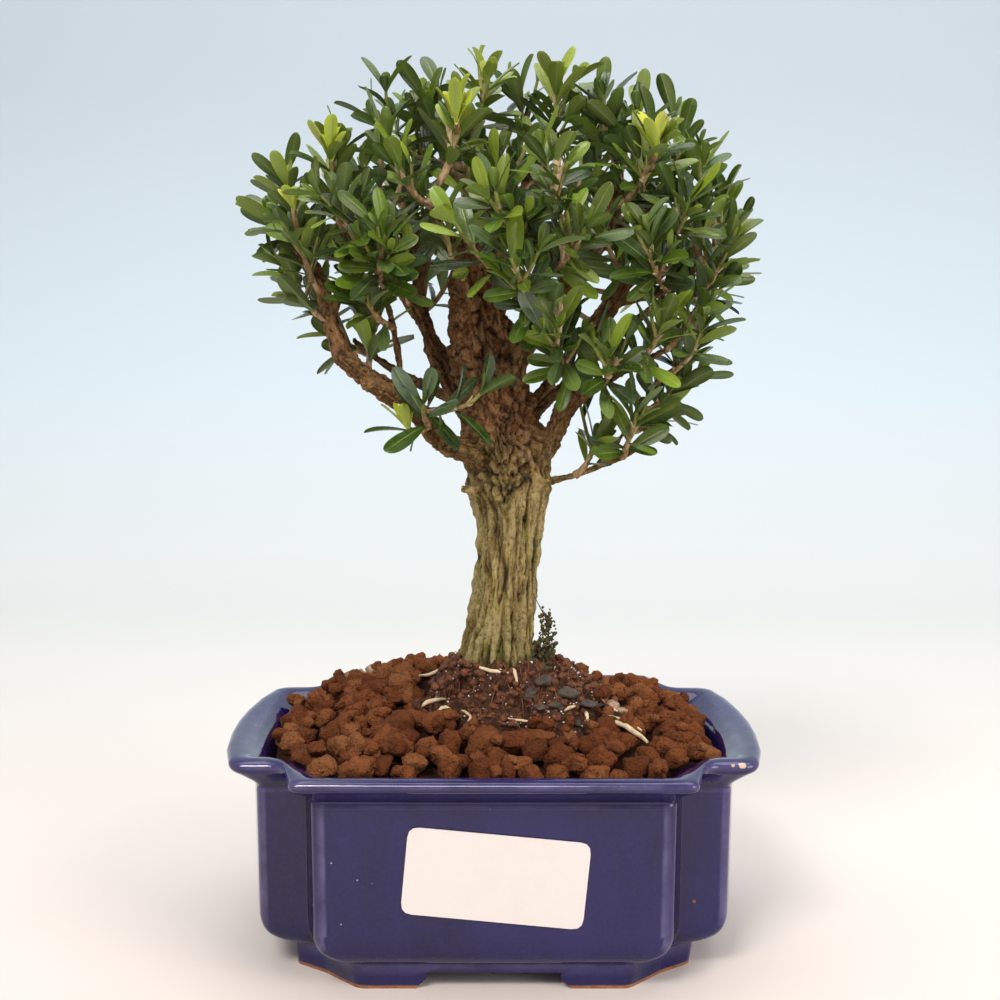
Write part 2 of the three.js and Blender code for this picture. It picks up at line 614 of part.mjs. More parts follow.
// An arched blade, widest near its blunt tip, with a flat upper face and a keel below.
function leaf(root, along, normal, size) {
  const side = along.clone().cross(normal);
  const centre = (share) => root.clone()
    .addScaledVector(along, size * LEAF.length * share)
    .addScaledVector(normal, -size * LEAF.length * LEAF.arch * share * share);
  const half = (size * LEAF.width) / 2;
  const middle = centre(LEAF.widest);
  const end = centre(1);
  const points = [
    root,
    middle.clone().addScaledVector(side, -half), middle.clone().addScaledVector(side, half),
    middle.clone().addScaledVector(normal, -LEAF.thickness),
    end.clone().addScaledVector(side, -half * LEAF.tip), end.clone().addScaledVector(side, half * LEAF.tip),
  ];
  return solidOfFaces(points, [0, 2, 1, 0, 3, 2, 0, 1, 3, 1, 5, 4, 1, 2, 5, 2, 3, 5, 3, 4, 5, 3, 1, 4]);
}

// The directions of one leaf of a pair: which way it points, and which way its upper face looks.
function leafDirections(stemDirection, turn, lean) {
  const across = new THREE.Vector3(1, 0, 0).cross(stemDirection).normalize();
  const radial = across.applyAxisAngle(stemDirection, turn);
  const cosine = Math.cos(lean);
  const sine = Math.sin(lean);
  const along = stemDirection.clone().multiplyScalar(cosine).addScaledVector(radial, sine);
  const normal = stemDirection.clone().multiplyScalar(sine).addScaledVector(radial, -cosine);
  return { along, normal };
}

function leafPlaces(path, seed) {
  const length = path.getLength();
  const firstTurn = chance(seed, 0, 61) * Math.PI;
  const places = [];
  for (let pair = 0; pair < PAIRS; pair++) {
    const share = 1 - (0.8 + pair * PAIR_SPACING) / length;
    if (share < 0.2) break;
    for (let half = 0; half < 2; half++) {
      places.push({
        root: path.getPointAt(share),
        stemDirection: path.getTangentAt(share),
        turn: firstTurn + (pair / 2 + half) * Math.PI + between(-0.25, 0.25, chance(seed, pair, 62 + half)),
        lean: between(...LEAF_LEAN, Math.min(1, pair / 2)) + 0.24 * (chance(seed, pair, 64 + half) - 0.5),
        size: between(0.82, 1.08, chance(seed, pair, 66 + half)) * (pair === 0 ? 0.86 : 1),
      });
    }
  }
  return places;
}

function isInsideCrown({ min, max }) {
  const [halfWidth, halfDepth, top] = CROWN_LIMIT;
  return Math.max(max[0], -min[0]) < halfWidth && Math.max(max[1], -min[1]) < halfDepth && max[2] < top;
}

function isClear(solid, others) {
  const box = solid.boundingBox();
  const apart = (other) => [0, 1, 2].some((k) =>
    other.min[k] > box.max[k] + CLEARANCE || other.max[k] < box.min[k] - CLEARANCE);
  return isInsideCrown(box) && others.every(({ bounds, body }) =>
    apart(bounds) || solid.minGap(body, CLEARANCE) >= CLEARANCE * 0.9);
}

// Turns a leaf about its stem until it is clear of every other spray and of the wood, or leaves it out.
function clearLeaf(place, others) {
  for (const nudge of [0, 0.35, -0.35, 0.7, -0.7, 1.05, -1.05]) {
    const lean = place.lean - Math.abs(nudge) * 0.2;
    const { along, normal } = leafDirections(place.stemDirection, place.turn + nudge, lean);
    const blade = leaf(place.root, along, normal, place.size);
    if (isClear(blade, others)) return blade;
  }
  return null;
}

function isFree(samples, woodPoints, shoots) {
  const outerHalf = samples.slice(STEM_SAMPLES / 2);
  return shoots.every((other) =>
    other.samples.every((point) => samples.every((sample) => sample.distanceTo(point) > STEM_APART)))
    && woodPoints.every(({ at, radius }) =>
      outerHalf.every((sample) => sample.distanceTo(at) > radius + STEM_OFF_WOOD));
}

// A path from the wood to the tip that keeps off the wood and the shoots before it, from the first such foot.
function freeShoot(tip, seed, woodPoints, shoots) {
  for (const foot of feetFor(tip, woodPoints)) {
    for (let attempt = 0; attempt < 6; attempt++) {
      const path = shootPath(foot, tip, seed + attempt * 0.37);
      const samples = path.getSpacedPoints(STEM_SAMPLES);
      if (isFree(samples, woodPoints, shoots)) return { path, samples, seed };
    }
  }
  return null;
}

function allShoots() {
  const woodPoints = limbPoints();
  const shoots = [];
  shootTips().forEach((tip, seed) => {
    const shoot = freeShoot(tip, seed, woodPoints, shoots);
    if (shoot) shoots.push(shoot);
  });
  return shoots;
}

function stem({ path }) {
  const radii = Array.from({ length: STEM_STEPS + 1 }, (_, i) => between(...STEM_RADIUS, i / STEM_STEPS));
  return tube(path.getSpacedPoints(STEM_STEPS), radii, STEM_SIDES);
}

// Each spray is one shoot's stem with its leaves, clear of the wood, the other stems and earlier sprays.
function sprays() {
  const entry = (body) => ({ body, bounds: body.boundingBox() });
  const wood = entry(tree(0));
  const grownWood = tree(CLEARANCE);
  const shoots = allShoots();
  const bodies = shoots.map((shoot) => entry(stem(shoot)));
  shoots.forEach(({ path, seed }, i) => {
    const others = [...bodies.slice(0, i), ...bodies.slice(i + 1), wood];
    const blades = leafPlaces(path, seed)
      .map((place) => clearLeaf(place, others))
      .filter((blade) => blade);
    const whole = wasm.Manifold.union([bodies[i].body, ...blades]);
    bodies[i] = entry(largestBody(whole.subtract(grownWood)));
  });
  return bodies.map(({ body }) => body);
}

// Assembly

const MATERIALS = {
  glaze: new THREE.MeshStandardMaterial({ color: 0x2b2a5e, roughness: 0.22, metalness: 0 }),
  net: new THREE.MeshStandardMaterial({ color: 0x30332f, roughness: 0.6, metalness: 0 }),
  paper: new THREE.MeshStandardMaterial({ color: 0xf2ece6, roughness: 0.55, metalness: 0 }),
  granules: new THREE.MeshStandardMaterial({ color: 0x7a4029, roughness: 0.95, metalness: 0 }),
  peat: new THREE.MeshStandardMaterial({ color: 0x3a2620, roughness: 1, metalness: 0 }),
  bark: new THREE.MeshStandardMaterial({ color: 0x8a6a45, roughness: 0.9, metalness: 0 }),
  leaf: new THREE.MeshStandardMaterial({ color: 0x3f6b2c, roughness: 0.45, metalness: 0 }),
};

function piece(name, solid, material) {
  const mesh = new THREE.Mesh(geometryOf(solid), material);
  mesh.name = name;
  return mesh;
}

function screenPiece(name, x) {
  const mesh = piece(name, screen(), MATERIALS.net);
  mesh.position.set(x, 0, FLOOR_TOP + CLEARANCE);
  return mesh;
}

// The label lies on the sloping front wall, turned a little clockwise.
function labelPiece() {
  const lowY = between(FOOT_PLAN.front, WALL_PLAN.front, WALL_TAPER);
  const slope = Math.atan2(WALL_PLAN.front - lowY, WALL_HIGH - WALL_LOW);
  const wallY = between(lowY, WALL_PLAN.front, (LABEL.z - WALL_LOW) / (WALL_HIGH - WALL_LOW));
  const mesh = piece("label", label(), MATERIALS.paper);
  mesh.rotation.z = THREE.MathUtils.degToRad(-LABEL.tilt);
  const onWall = new THREE.Group();
  onWall.rotation.x = Math.PI / 2 + slope;
  onWall.position.set(LABEL.x, -wallY - CLEARANCE / Math.cos(slope), LABEL.z);
  onWall.add(mesh);
  return onWall;
}

function bonsai() {
  const group = new THREE.Group();
  group.add(piece("pot", pot(), MATERIALS.glaze));
  group.add(screenPiece("drain_screen_left", -DRAIN_X));
  group.add(screenPiece("drain_screen_right", DRAIN_X));
  group.add(labelPiece());
  group.add(piece("soil", soil(), MATERIALS.granules));
  group.add(piece("root_mound", largestBody(rootMound(0).subtract(tree(CLEARANCE))), MATERIALS.peat));
  group.add(piece("tree", tree(0), MATERIALS.bark));
  sprays().forEach((spray, i) => {
    group.add(piece("spray_" + String(i + 1).padStart(2, "0"), spray, MATERIALS.leaf));
  });
  return group;
}

export default bonsai();
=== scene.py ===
"""The looks of a harland boxwood bonsai in a glazed pot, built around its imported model.

Lengths are in millimetres until a mesh is made. The frame is the model's: +Z up, the front towards -Y.
"""

import json
import math

import bmesh
import bpy
import numpy as np
from mathutils import Matrix, Vector, noise
from mathutils.bvhtree import BVHTree

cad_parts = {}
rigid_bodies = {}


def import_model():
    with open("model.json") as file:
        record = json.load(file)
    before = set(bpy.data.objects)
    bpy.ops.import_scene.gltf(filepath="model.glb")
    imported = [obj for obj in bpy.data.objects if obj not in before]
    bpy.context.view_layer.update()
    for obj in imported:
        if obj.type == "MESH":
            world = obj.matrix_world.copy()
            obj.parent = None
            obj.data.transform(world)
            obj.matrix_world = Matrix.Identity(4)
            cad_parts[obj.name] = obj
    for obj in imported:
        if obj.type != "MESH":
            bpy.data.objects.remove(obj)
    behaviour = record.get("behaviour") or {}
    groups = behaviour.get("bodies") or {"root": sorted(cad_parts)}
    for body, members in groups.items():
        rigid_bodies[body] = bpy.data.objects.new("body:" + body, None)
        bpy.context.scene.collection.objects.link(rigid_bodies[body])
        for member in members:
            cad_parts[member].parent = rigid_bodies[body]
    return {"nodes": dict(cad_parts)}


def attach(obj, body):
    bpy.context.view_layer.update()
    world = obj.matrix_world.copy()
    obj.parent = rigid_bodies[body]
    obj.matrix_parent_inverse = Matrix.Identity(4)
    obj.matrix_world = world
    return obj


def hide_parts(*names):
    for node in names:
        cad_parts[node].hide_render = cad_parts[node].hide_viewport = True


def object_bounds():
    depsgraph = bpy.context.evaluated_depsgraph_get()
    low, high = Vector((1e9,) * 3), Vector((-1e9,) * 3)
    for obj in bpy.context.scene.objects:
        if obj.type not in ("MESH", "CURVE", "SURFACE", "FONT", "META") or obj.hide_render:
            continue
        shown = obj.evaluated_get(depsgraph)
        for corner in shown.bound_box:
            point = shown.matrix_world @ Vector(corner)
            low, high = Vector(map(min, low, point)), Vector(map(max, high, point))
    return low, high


MM = 0.001
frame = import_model()
CAD_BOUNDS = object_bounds()
UP = np.array((0.0, 0.0, 1.0))

# The pot's plans, as in the part: half sizes, how far a side falls back at its ends, the notch and
# the rounding of its corners. A level is its height, two plans and the share of the second.
FOOT_PLAN = dict(side=57.5, bow=1.5, front=47.5, front_end=37.5, lobe_end=32.3, notch=(47, 37.8),
                 rounding=(3, 6, 5))
WALL_PLAN = dict(side=69.8, bow=4.4, front=52.3, front_end=48.4, lobe_end=38.8, notch=(51.6, 37.9),
                 rounding=(4, 1.2, 3.5))
RIM_PLAN = dict(side=77.7, bow=5.2, front=59.8, front_end=53.2, lobe_end=42.5, notch=(57, 42.5),
                rounding=(6, 7, 3))
MOUTH_PLAN = dict(side=72.3, bow=4.2, front=53.7, front_end=47, lobe_end=34.4, notch=(60.5, 35.6),
                  rounding=(4, 6, 6))
INSIDE_PLAN = dict(side=64.5, bow=3.5, front=47.6, front_end=43.5, lobe_end=31.3, notch=(49.5, 32.3),
                   rounding=(4, 5, 5))
FLOOR_PLAN = dict(side=57, bow=1.8, front=41.5, front_end=37, lobe_end=26.3, notch=(43, 28.3),
                  rounding=(4, 5, 5))
FOOT_HEIGHT = 4.6
POT_LEVELS = [
    (0, FOOT_PLAN, WALL_PLAN, -0.06), (7, FOOT_PLAN, WALL_PLAN, 0.05), (8.5, FOOT_PLAN, WALL_PLAN, 0.44),
    (10.6, FOOT_PLAN, WALL_PLAN, 0.75), (13, FOOT_PLAN, WALL_PLAN, 0.9), (16, FOOT_PLAN, WALL_PLAN, 0.965),
    (18.5, FOOT_PLAN, WALL_PLAN, 0.967), (49.5, FOOT_PLAN, WALL_PLAN, 0.997), (51.6, FOOT_PLAN, WALL_PLAN, 1),
    (52.4, FOOT_PLAN, WALL_PLAN, 1), (54, WALL_PLAN, RIM_PLAN, -0.06), (57.4, WALL_PLAN, RIM_PLAN, 0.62),
    (58.8, WALL_PLAN, RIM_PLAN, 0.95), (60.8, WALL_PLAN, RIM_PLAN, 1), (62, RIM_PLAN, MOUTH_PLAN, 0.3),
    (61.6, RIM_PLAN, MOUTH_PLAN, 0.85), (60.2, MOUTH_PLAN, INSIDE_PLAN, 0.25),
    (57, MOUTH_PLAN, INSIDE_PLAN, 0.9), (20, INSIDE_PLAN, FLOOR_PLAN, 0.3), (10, INSIDE_PLAN, FLOOR_PLAN, 1),
]
RECESS_HALF = (48, 38.3)
RECESS_CHAMFER = 16
FRONT_GAP_HALF = (18.3, 21.2)
SIDE_GAP_HALF = (13, 16)
DRAIN_X = 28
DRAIN_RADIUS = 6
# Chips in the rim's glaze and a rusty speck, as their place and radius in metres and their colour.
GLAZE_SPOTS = (((0.0675, -0.0424, 0.0614), 0.0014, (0.6, 0.42, 0.3)),
               ((0.0648, -0.0424, 0.0612), 0.0008, (0.5, 0.36, 0.28)),
               ((0.0556, -0.0388, 0.021), 0.0009, (0.22, 0.08, 0.04)))

SOIL_EDGE_Z = 58
BED_BELOW = 2.8
GRANULES_ABOVE = 2.4
# Each layer of granules as (pitch, least radius, greatest radius, lift), and the gaps in the upper one.
GRANULE_LAYERS = ((7.6, 3.1, 4.9, 0.2), (7.0, 1.7, 3.1, 3.2))
UPPER_GAPS = 0.56
MOUND_VOXEL = 0.9
BARK_VOXEL = 0.62
HEAP = dict(height=14.4, right_share=0.6, front=-52, ridge=12, back=60, side=63)
MOUND_RINGS = [
    (17, 3, 1, 13, 11), (30, 3, 1, 25, 20), (60, 8, 1, 32, 27), (67.5, 8, 0.5, 29.5, 22.5),
    (75, 5.6, 0.5, 24, 17), (80, 3.4, 0.5, 18, 13), (82.3, 2, 0.5, 13, 11.5),
]
# On the mound: stones as (x, y, radius), pale roots as their spots (x, y) and radius.
STONES = [
    (10.5, -14.3, 2.6), (15, -11.5, 3), (17.5, -15, 2.4), (21.5, -11, 3.2), (27, -12.5, 2.6),
    (24, -16.5, 1.8), (13, -17.5, 1.7), (30, -8, 2.4), (-12, 14, 2.6), (22, 12, 2.2),
]
TAN_CHIPS = [(34.5, -9.5, 2.6), (31, -7, 1.9), (37.5, -11, 1.6), (-45, 28, 3.6), (-39.5, 30, 2.6)]
PALE_ROOTS = [
    (((-5.3, -10.2), (0, -12.4), (5.2, -12.9)), 0.6), (((2.4, -9.6), (5, -12), (6.6, -14)), 0.75),
    (((-21.7, -12.6), (-18.6, -9.6), (-14.2, -10)), 0.7), (((-16.4, -15.6), (-12.8, -14)), 0.55),
    (((-9.5, -15.5), (-7, -18.5), (-7.5, -21.5)), 0.45), (((26.6, -15.8), (26.9, -20)), 0.6),
    (((20.4, -16.4), (23.8, -14.6)), 0.5), (((32.6, -18.6), (38.6, -23.6), (42.8, -31)), 0.85),
    (((31.6, -16.4), (37.4, -18.4), (42, -23.5)), 0.6), (((33, -14), (36, -13.5)), 0.5),
    (((4, -20), (8.5, -21.5), (11.5, -20.5)), 0.4), (((17, 8), (24, 11), (31, 10)), 0.6),
    (((-12, 6), (-18, 9.5), (-23, 8)), 0.6), (((5, 13), (8.5, 17), (14, 20)), 0.55),
]

# The trunk's rings as (z, x, y, radius), and the height of the point of the bark's flap over it.
BARK_FLAP_Z = 125.5
TRUNK_RINGS = [
    (60, 1.5, 1, 5.5), (72, 1.3, 1, 12.2), (83, 1.2, 0.6, 11.2), (93, 2.4, 0.3, 9.8), (106, 3.6, 0, 9.4),
    (122, 5, 0, 9.3), (131, 4.6, 0, 11.6), (141, 4.2, 0.5, 12.4), (152, 2.2, 1.2, 12.2),
    (166, -1.2, 0.6, 11.4), (179, -3.6, -0.4, 10.4), (190, -6, -2, 7.8), (199, -7.7, -3.8, 5.4),
    (205, -8.2, -5, 3.4),
]

# Limbs and twigs in the part's order: radius at the start and at the end, then the points they pass through.
LIMBS = [
    [4.7, 2.6, (0, 0, 135), (-7, -7, 143), (-15, -10, 147), (-21, -12, 154), (-30, -13, 161),
     (-37, -13, 165.5), (-43, -13, 171), (-46, -13, 179), (-49, -13, 190), (-53, -14, 199)],
    [1.7, 1.1, (-46, -13, 181), (-43, -15, 190), (-41, -17, 199), (-42, -18, 209)],
    [2.2, 1.3, (-3, -2, 150), (-13, -6, 159), (-21, -7, 163), (-28, -6, 166), (-35, -2, 171), (-42, 4, 176)],
    [1.3, 1.1, (-27, -6, 164.5), (-28, -9, 174), (-30.5, -11, 186), (-32, -12, 198), (-31, -12, 210)],
    [3.6, 2.1, (-3, 4, 146), (-13, 11, 162), (-19, 14, 173), (-22, 15, 185), (-24, 16, 197), (-25, 17, 210)],
    [1.5, 1.1, (-22, 15, 184), (-29, 14, 193), (-36, 12, 204), (-46, 10, 212)],
    [1.7, 1.1, (-4, -6, 180), (-9, -14, 194), (-13, -18, 207), (-16, -21, 218)],
    [1.8, 1.1, (4, -6, 170), (11, -13, 186), (15, -18, 198), (20, -21, 212)],
    [3.2, 1.6, (3, -2, 150), (7, -7, 168), (12, -10, 184), (22, -12, 194), (31, -12, 206), (35, -11, 220)],
    [4.1, 2.3, (8, 0, 133), (16, -4, 146), (22, -6, 159), (28, -9, 174), (33, -11, 185), (41, -13, 197),
     (45, -14, 208)],
    [1.6, 1.1, (34, -11.5, 186), (43, -14, 188), (51, -16, 191), (58, -16, 197)],
    [1.8, 1.2, (10, 0, 133), (22, -4, 136), (30, -6, 139), (37, -7, 142), (43, -9, 146)],
    [1.2, 1, (29, -6, 139), (35, -8, 146), (42, -9, 155), (47, -9, 165)],
    [1.8, 1.2, (18, -4, 154), (30, -10, 163), (38, -14, 168), (48, -17, 173)],
    [2.6, 1.4, (4, 3, 146), (15, 6, 157), (27, 8, 169), (39, 12, 179), (52, 15, 189), (59, 15, 198)],
    [2.8, 1.5, (2, 3, 160), (13, 5, 179), (24, 8, 194), (34, 11, 206), (44, 12, 217)],
    [3.2, 1.5, (1, 4, 143), (-6, 14, 158), (-16, 22, 172), (-27, 30, 187), (-36, 35, 202)],
    [3, 1.5, (5, 4, 143), (13, 15, 158), (23, 24, 172), (34, 31, 186), (42, 35, 201)],
    [3.1, 1.4, (0, 5, 152), (0, 18, 170), (1, 27, 188), (0, 33, 206), (1, 35, 220)],
    [2.1, 1.1, (-7, -3, 192), (-9, -1, 208), (-8, 1, 222), (-6, 2, 237)],
    [1.7, 1.1, (-5, 0, 186), (2, 3, 202), (8, 4, 218), (12, 3, 234)],
]

SHOOT_TIPS = [
    (-59, -8, 219), (-54, -20, 203), (-45, -18, 224), (-65, 4, 213), (-58, -7, 195), (-51, 4, 184),
    (-35, 0, 239), (-41, -28, 212), (-26, -28, 224), (-29, -34, 203), (-19, -5, 241), (-10, -21, 235),
    (-3, -6, 248), (7, 9, 247), (17, -8, 247), (16, -32, 222), (0, -40, 214), (30, -4, 243),
    (40, -13, 238), (42, -29, 227), (54, 2, 234), (59, -9, 225), (52, -27, 213), (65, -3, 214),
    (66, -15, 203), (66, 0, 196), (41, -36, 203), (60, -14, 184), (46, -26, 180), (55, -2, 169),
    (40, -18, 156), (31, -29, 171), (17, -31, 179), (4, -41, 197), (29, -9, 147), (-35, -6, 181),
    (-20, -24, 158), (-37, -22, 193), (-4, -25, 161), (24, -37, 205), (51, 0, 156),
]
CROWN_MIDDLE = (2, 1, 203)
CROWN_HALF = (64, 48, 48)
INNER_SHARE = 0.7
RULED_TIPS = 160
TIP_SPACING = 20
MOST_SPRAYS = 54
GOLDEN_ANGLE = math.pi * (3 - math.sqrt(5))
STEM_SAMPLES = 10
STEM_APART = 3.6
STEM_OFF_WOOD = 1.6
PAIRS = 6
PAIR_SPACING = 4.7
LEAF_LENGTH = 15.6
LEAF_WIDTH = 5.0
LEAF_ARCH = 0.16
# A leaf's stations along its length, its share of the width at each, and the columns across it.
STATIONS = np.array((0, 0.06, 0.16, 0.29, 0.43, 0.57, 0.7, 0.81, 0.9, 0.965))
WIDTHS = np.array((0.13, 0.19, 0.37, 0.61, 0.82, 0.96, 1.0, 0.94, 0.76, 0.46))
ACROSS = np.array((-1, -0.55, -0.1, 0, 0.1, 0.55, 1))
LEAF_CHECKS = np.array((0.45, 0.7, 0.95))[:, None]
LEAF_OFF_WOOD = 1.6
# In scene.py alone: more shoot tips, dry stubs, and how the shoots inside the crown are spread.
GAP_TIPS = [
    (-19, -16, 216), (-24, -25, 200), (-13, -22, 204), (-25, -8, 228), (24, -12, 226), (30, -22, 206),
    (8, -24, 214), (46, -14, 196), (-46, -6, 206), (-8, -8, 226),
]
DRY_STUBS = [(-21, -20, 236), (-6, -24, 214), (45, -26, 231), (26, -26, 180), (12, -32, 226), (-42, -20, 214)]
# These two leaves are darkened as painted shade low under the left limb.
DARK_LEAVES = [  # root, direction, upper side and size of the two leaves beside the lowest tuft
    ((-24, -17.4, 150.4), (-1, -0.1, 0.16), (0.16, 0, 1), 0.82),
    ((-22.5, -17, 149.4), (-0.4, -0.3, -0.9), (-0.9, 0, 0.4), 0.34),
]
INNER_TRIES = 400
INNER_SPACING = 12
# How young the leaves are on some of the part's shoots, by their number, and the shoots kept sparse, whose
# leaves are darkened as painted shade low in the crown.
YOUNG_SHOOTS = {2: 0.3, 11: 0.3, 19: 0.3, 12: 0.45, 14: 0.4, 0: 0.3}
SPARSE_SHOOTS = (36, 38)
YOUNG_TUFTS = [  # where its twig starts, foot, heading and size of each yellow-green tuft
    ((-45, -18, 222), (-44.5, -25, 225.5), (-0.08, -0.05, 1), 0.72),
    ((-10, -21, 232), (-10.5, -27, 235), (0.02, -0.05, 1), 0.72),
    ((42, -29, 224), (42.5, -34, 226), (-0.1, -0.05, 1), 0.71),
    ((-17, -12, 152), (-24.5, -17.5, 150.8), (-0.3, -0.05, 0.95), 0.68),
    ((-54, -20, 205), (-55, -25, 211), (-0.1, -0.1, 1), 0.5),
]


def chance(a, b=0, c=0):
    """A number from 0 to 1 that is always the same for the same three keys, and the same as in the part."""
    wave = math.sin(a * 12.9898 + b * 78.233 + c * 37.719 + 4.1) * 43758.5453
    return wave - math.floor(wave)


def between(low, high, share):
    return low + (high - low) * share


def unit(v):
    return v / np.linalg.norm(v)


def turned(v, axis, angle):
    """v turned about a unit axis."""
    return (v * math.cos(angle) + np.cross(axis, v) * math.sin(angle)
            + axis * np.dot(axis, v) * (1 - math.cos(angle)))


# Meshes

class Shape:
    """Points in millimetres, faces, and named values for each point, gathered into one mesh."""

    def __init__(self):
        self.points, self.faces, self.values, self.count = [], [], {}, 0

    def add(self, points, faces, **values):
        points = np.asarray(points, float)
        self.points.append(points)
        self.faces.extend([tuple(i + self.count for i in face) for face in faces])
        for name, value in values.items():
            self.values.setdefault(name, []).append(np.broadcast_to(value, (len(points), 3)))
        self.count += len(points)

    def build(self, name, material, slot, smooth=40):
        mesh = bpy.data.meshes.new(name)
        mesh.from_pydata((np.concatenate(self.points) * MM).tolist(), [], self.faces)
        for key, parts in self.values.items():
            set_values(mesh, key, np.concatenate(parts))
        return placed(mesh, name, material, slot, smooth)


def set_values(mesh, name, values):
    """Gives each point of a mesh three numbers for its material to read."""
    attribute = mesh.attributes.new(name, "FLOAT_VECTOR", "POINT")
    attribute.data.foreach_set("vector", values.astype(np.float32).ravel())


def linked(name, data):
    """A new object in the scene."""
    piece = bpy.data.objects.new(name, data)
    bpy.context.scene.collection.objects.link(piece)
    return piece


def shade_smooth(mesh, angle=180):
    """Smooth shading, but for edges sharper than the angle in degrees."""
    mesh.polygons.foreach_set("use_smooth", [True] * len(mesh.polygons))
    if angle < 180:
        mesh.set_sharp_from_angle(angle=math.radians(angle))


def placed(mesh, name, material, slot, smooth=40):
    """A piece of the object: linked, shaded, riding on the root, with its material. The slot is not used."""
    piece = linked(name, mesh)
    mesh.materials.clear()
    mesh.materials.append(material)
    shade_smooth(mesh, smooth)
    mesh.update()
    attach(piece, "root")
    return piece


def ring_faces(rings, sides, closed_ends=True):
    """Quads between rings of equal count, with a face over each end."""
    faces = []
    for r in range(rings - 1):
        for k in range(sides):
            n = (k + 1) % sides
            faces.append((r * sides + k, r * sides + n, (r + 1) * sides + n, (r + 1) * sides + k))
    if closed_ends:
        faces.append(tuple(range(sides - 1, -1, -1)))
        faces.append(tuple((rings - 1) * sides + k for k in range(sides)))
    return faces


def tube(points, radii, sides):
    """Points and faces of a closed tube."""
    points = np.asarray(points, float)
    across = np.array((0.31, 0.95, 0.02))
    rings = []
    for i, point in enumerate(points):
        along = unit(points[min(i + 1, len(points) - 1)] - points[max(i - 1, 0)])
        across = unit(across - along * np.dot(across, along))
        other = np.cross(along, across)
        angles = np.arange(sides) * 2 * math.pi / sides
        rings.append(point + radii[i] * (np.outer(np.cos(angles), across) + np.outer(np.sin(angles), other)))
    return np.concatenate(rings), ring_faces(len(points), sides)


def ball(level):
    """A unit ball of triangles."""
    bm = bmesh.new()
    bmesh.ops.create_icosphere(bm, subdivisions=level, radius=1)
    points = np.array([v.co[:] for v in bm.verts])
    faces = [tuple(v.index for v in f.verts) for f in bm.faces]
    bm.free()
    return points, faces


BALLS = {level: ball(level) for level in (1, 2, 3)}


def crumb(middle, radius, seed, level=2, flat=1.0, cuts=11, rough=0.07):
    """An angular crumb: a ball cut by planes at seeded places, then roughened."""
    points, faces = BALLS[level]
    reach = np.full(len(points), 1.25)
    for i in range(cuts):
        height = between(-1, 1, chance(seed, i, 101))
        angle = 2 * math.pi * chance(seed, i, 102)
        ring = math.sqrt(1 - height * height)
        facing = points @ np.array((ring * math.cos(angle), ring * math.sin(angle), height))
        limit = between(0.68, 1.05, chance(seed, i, 103))
        reach = np.where(facing > 0.2, np.minimum(reach, limit / np.maximum(facing, 0.2)), reach)
    shift = Vector((seed * 3.7, seed * 1.3, 0))
    wobble = np.array([noise.noise(Vector(p) * 2.3 + shift) + 0.55 * noise.noise(Vector(p) * 5.5 - shift)
                       for p in points])
    shaped = points * (reach * (1 + rough * 2 * wobble))[:, None] * radius
    turn = np.array(Matrix.Rotation(chance(seed, 1, 104) * 6.3, 3, "Z"))
    shaped = (shaped * np.array((1, between(0.75, 1, chance(seed, 2, 104)), flat))) @ turn.T
    return shaped + np.asarray(middle), faces


# Materials

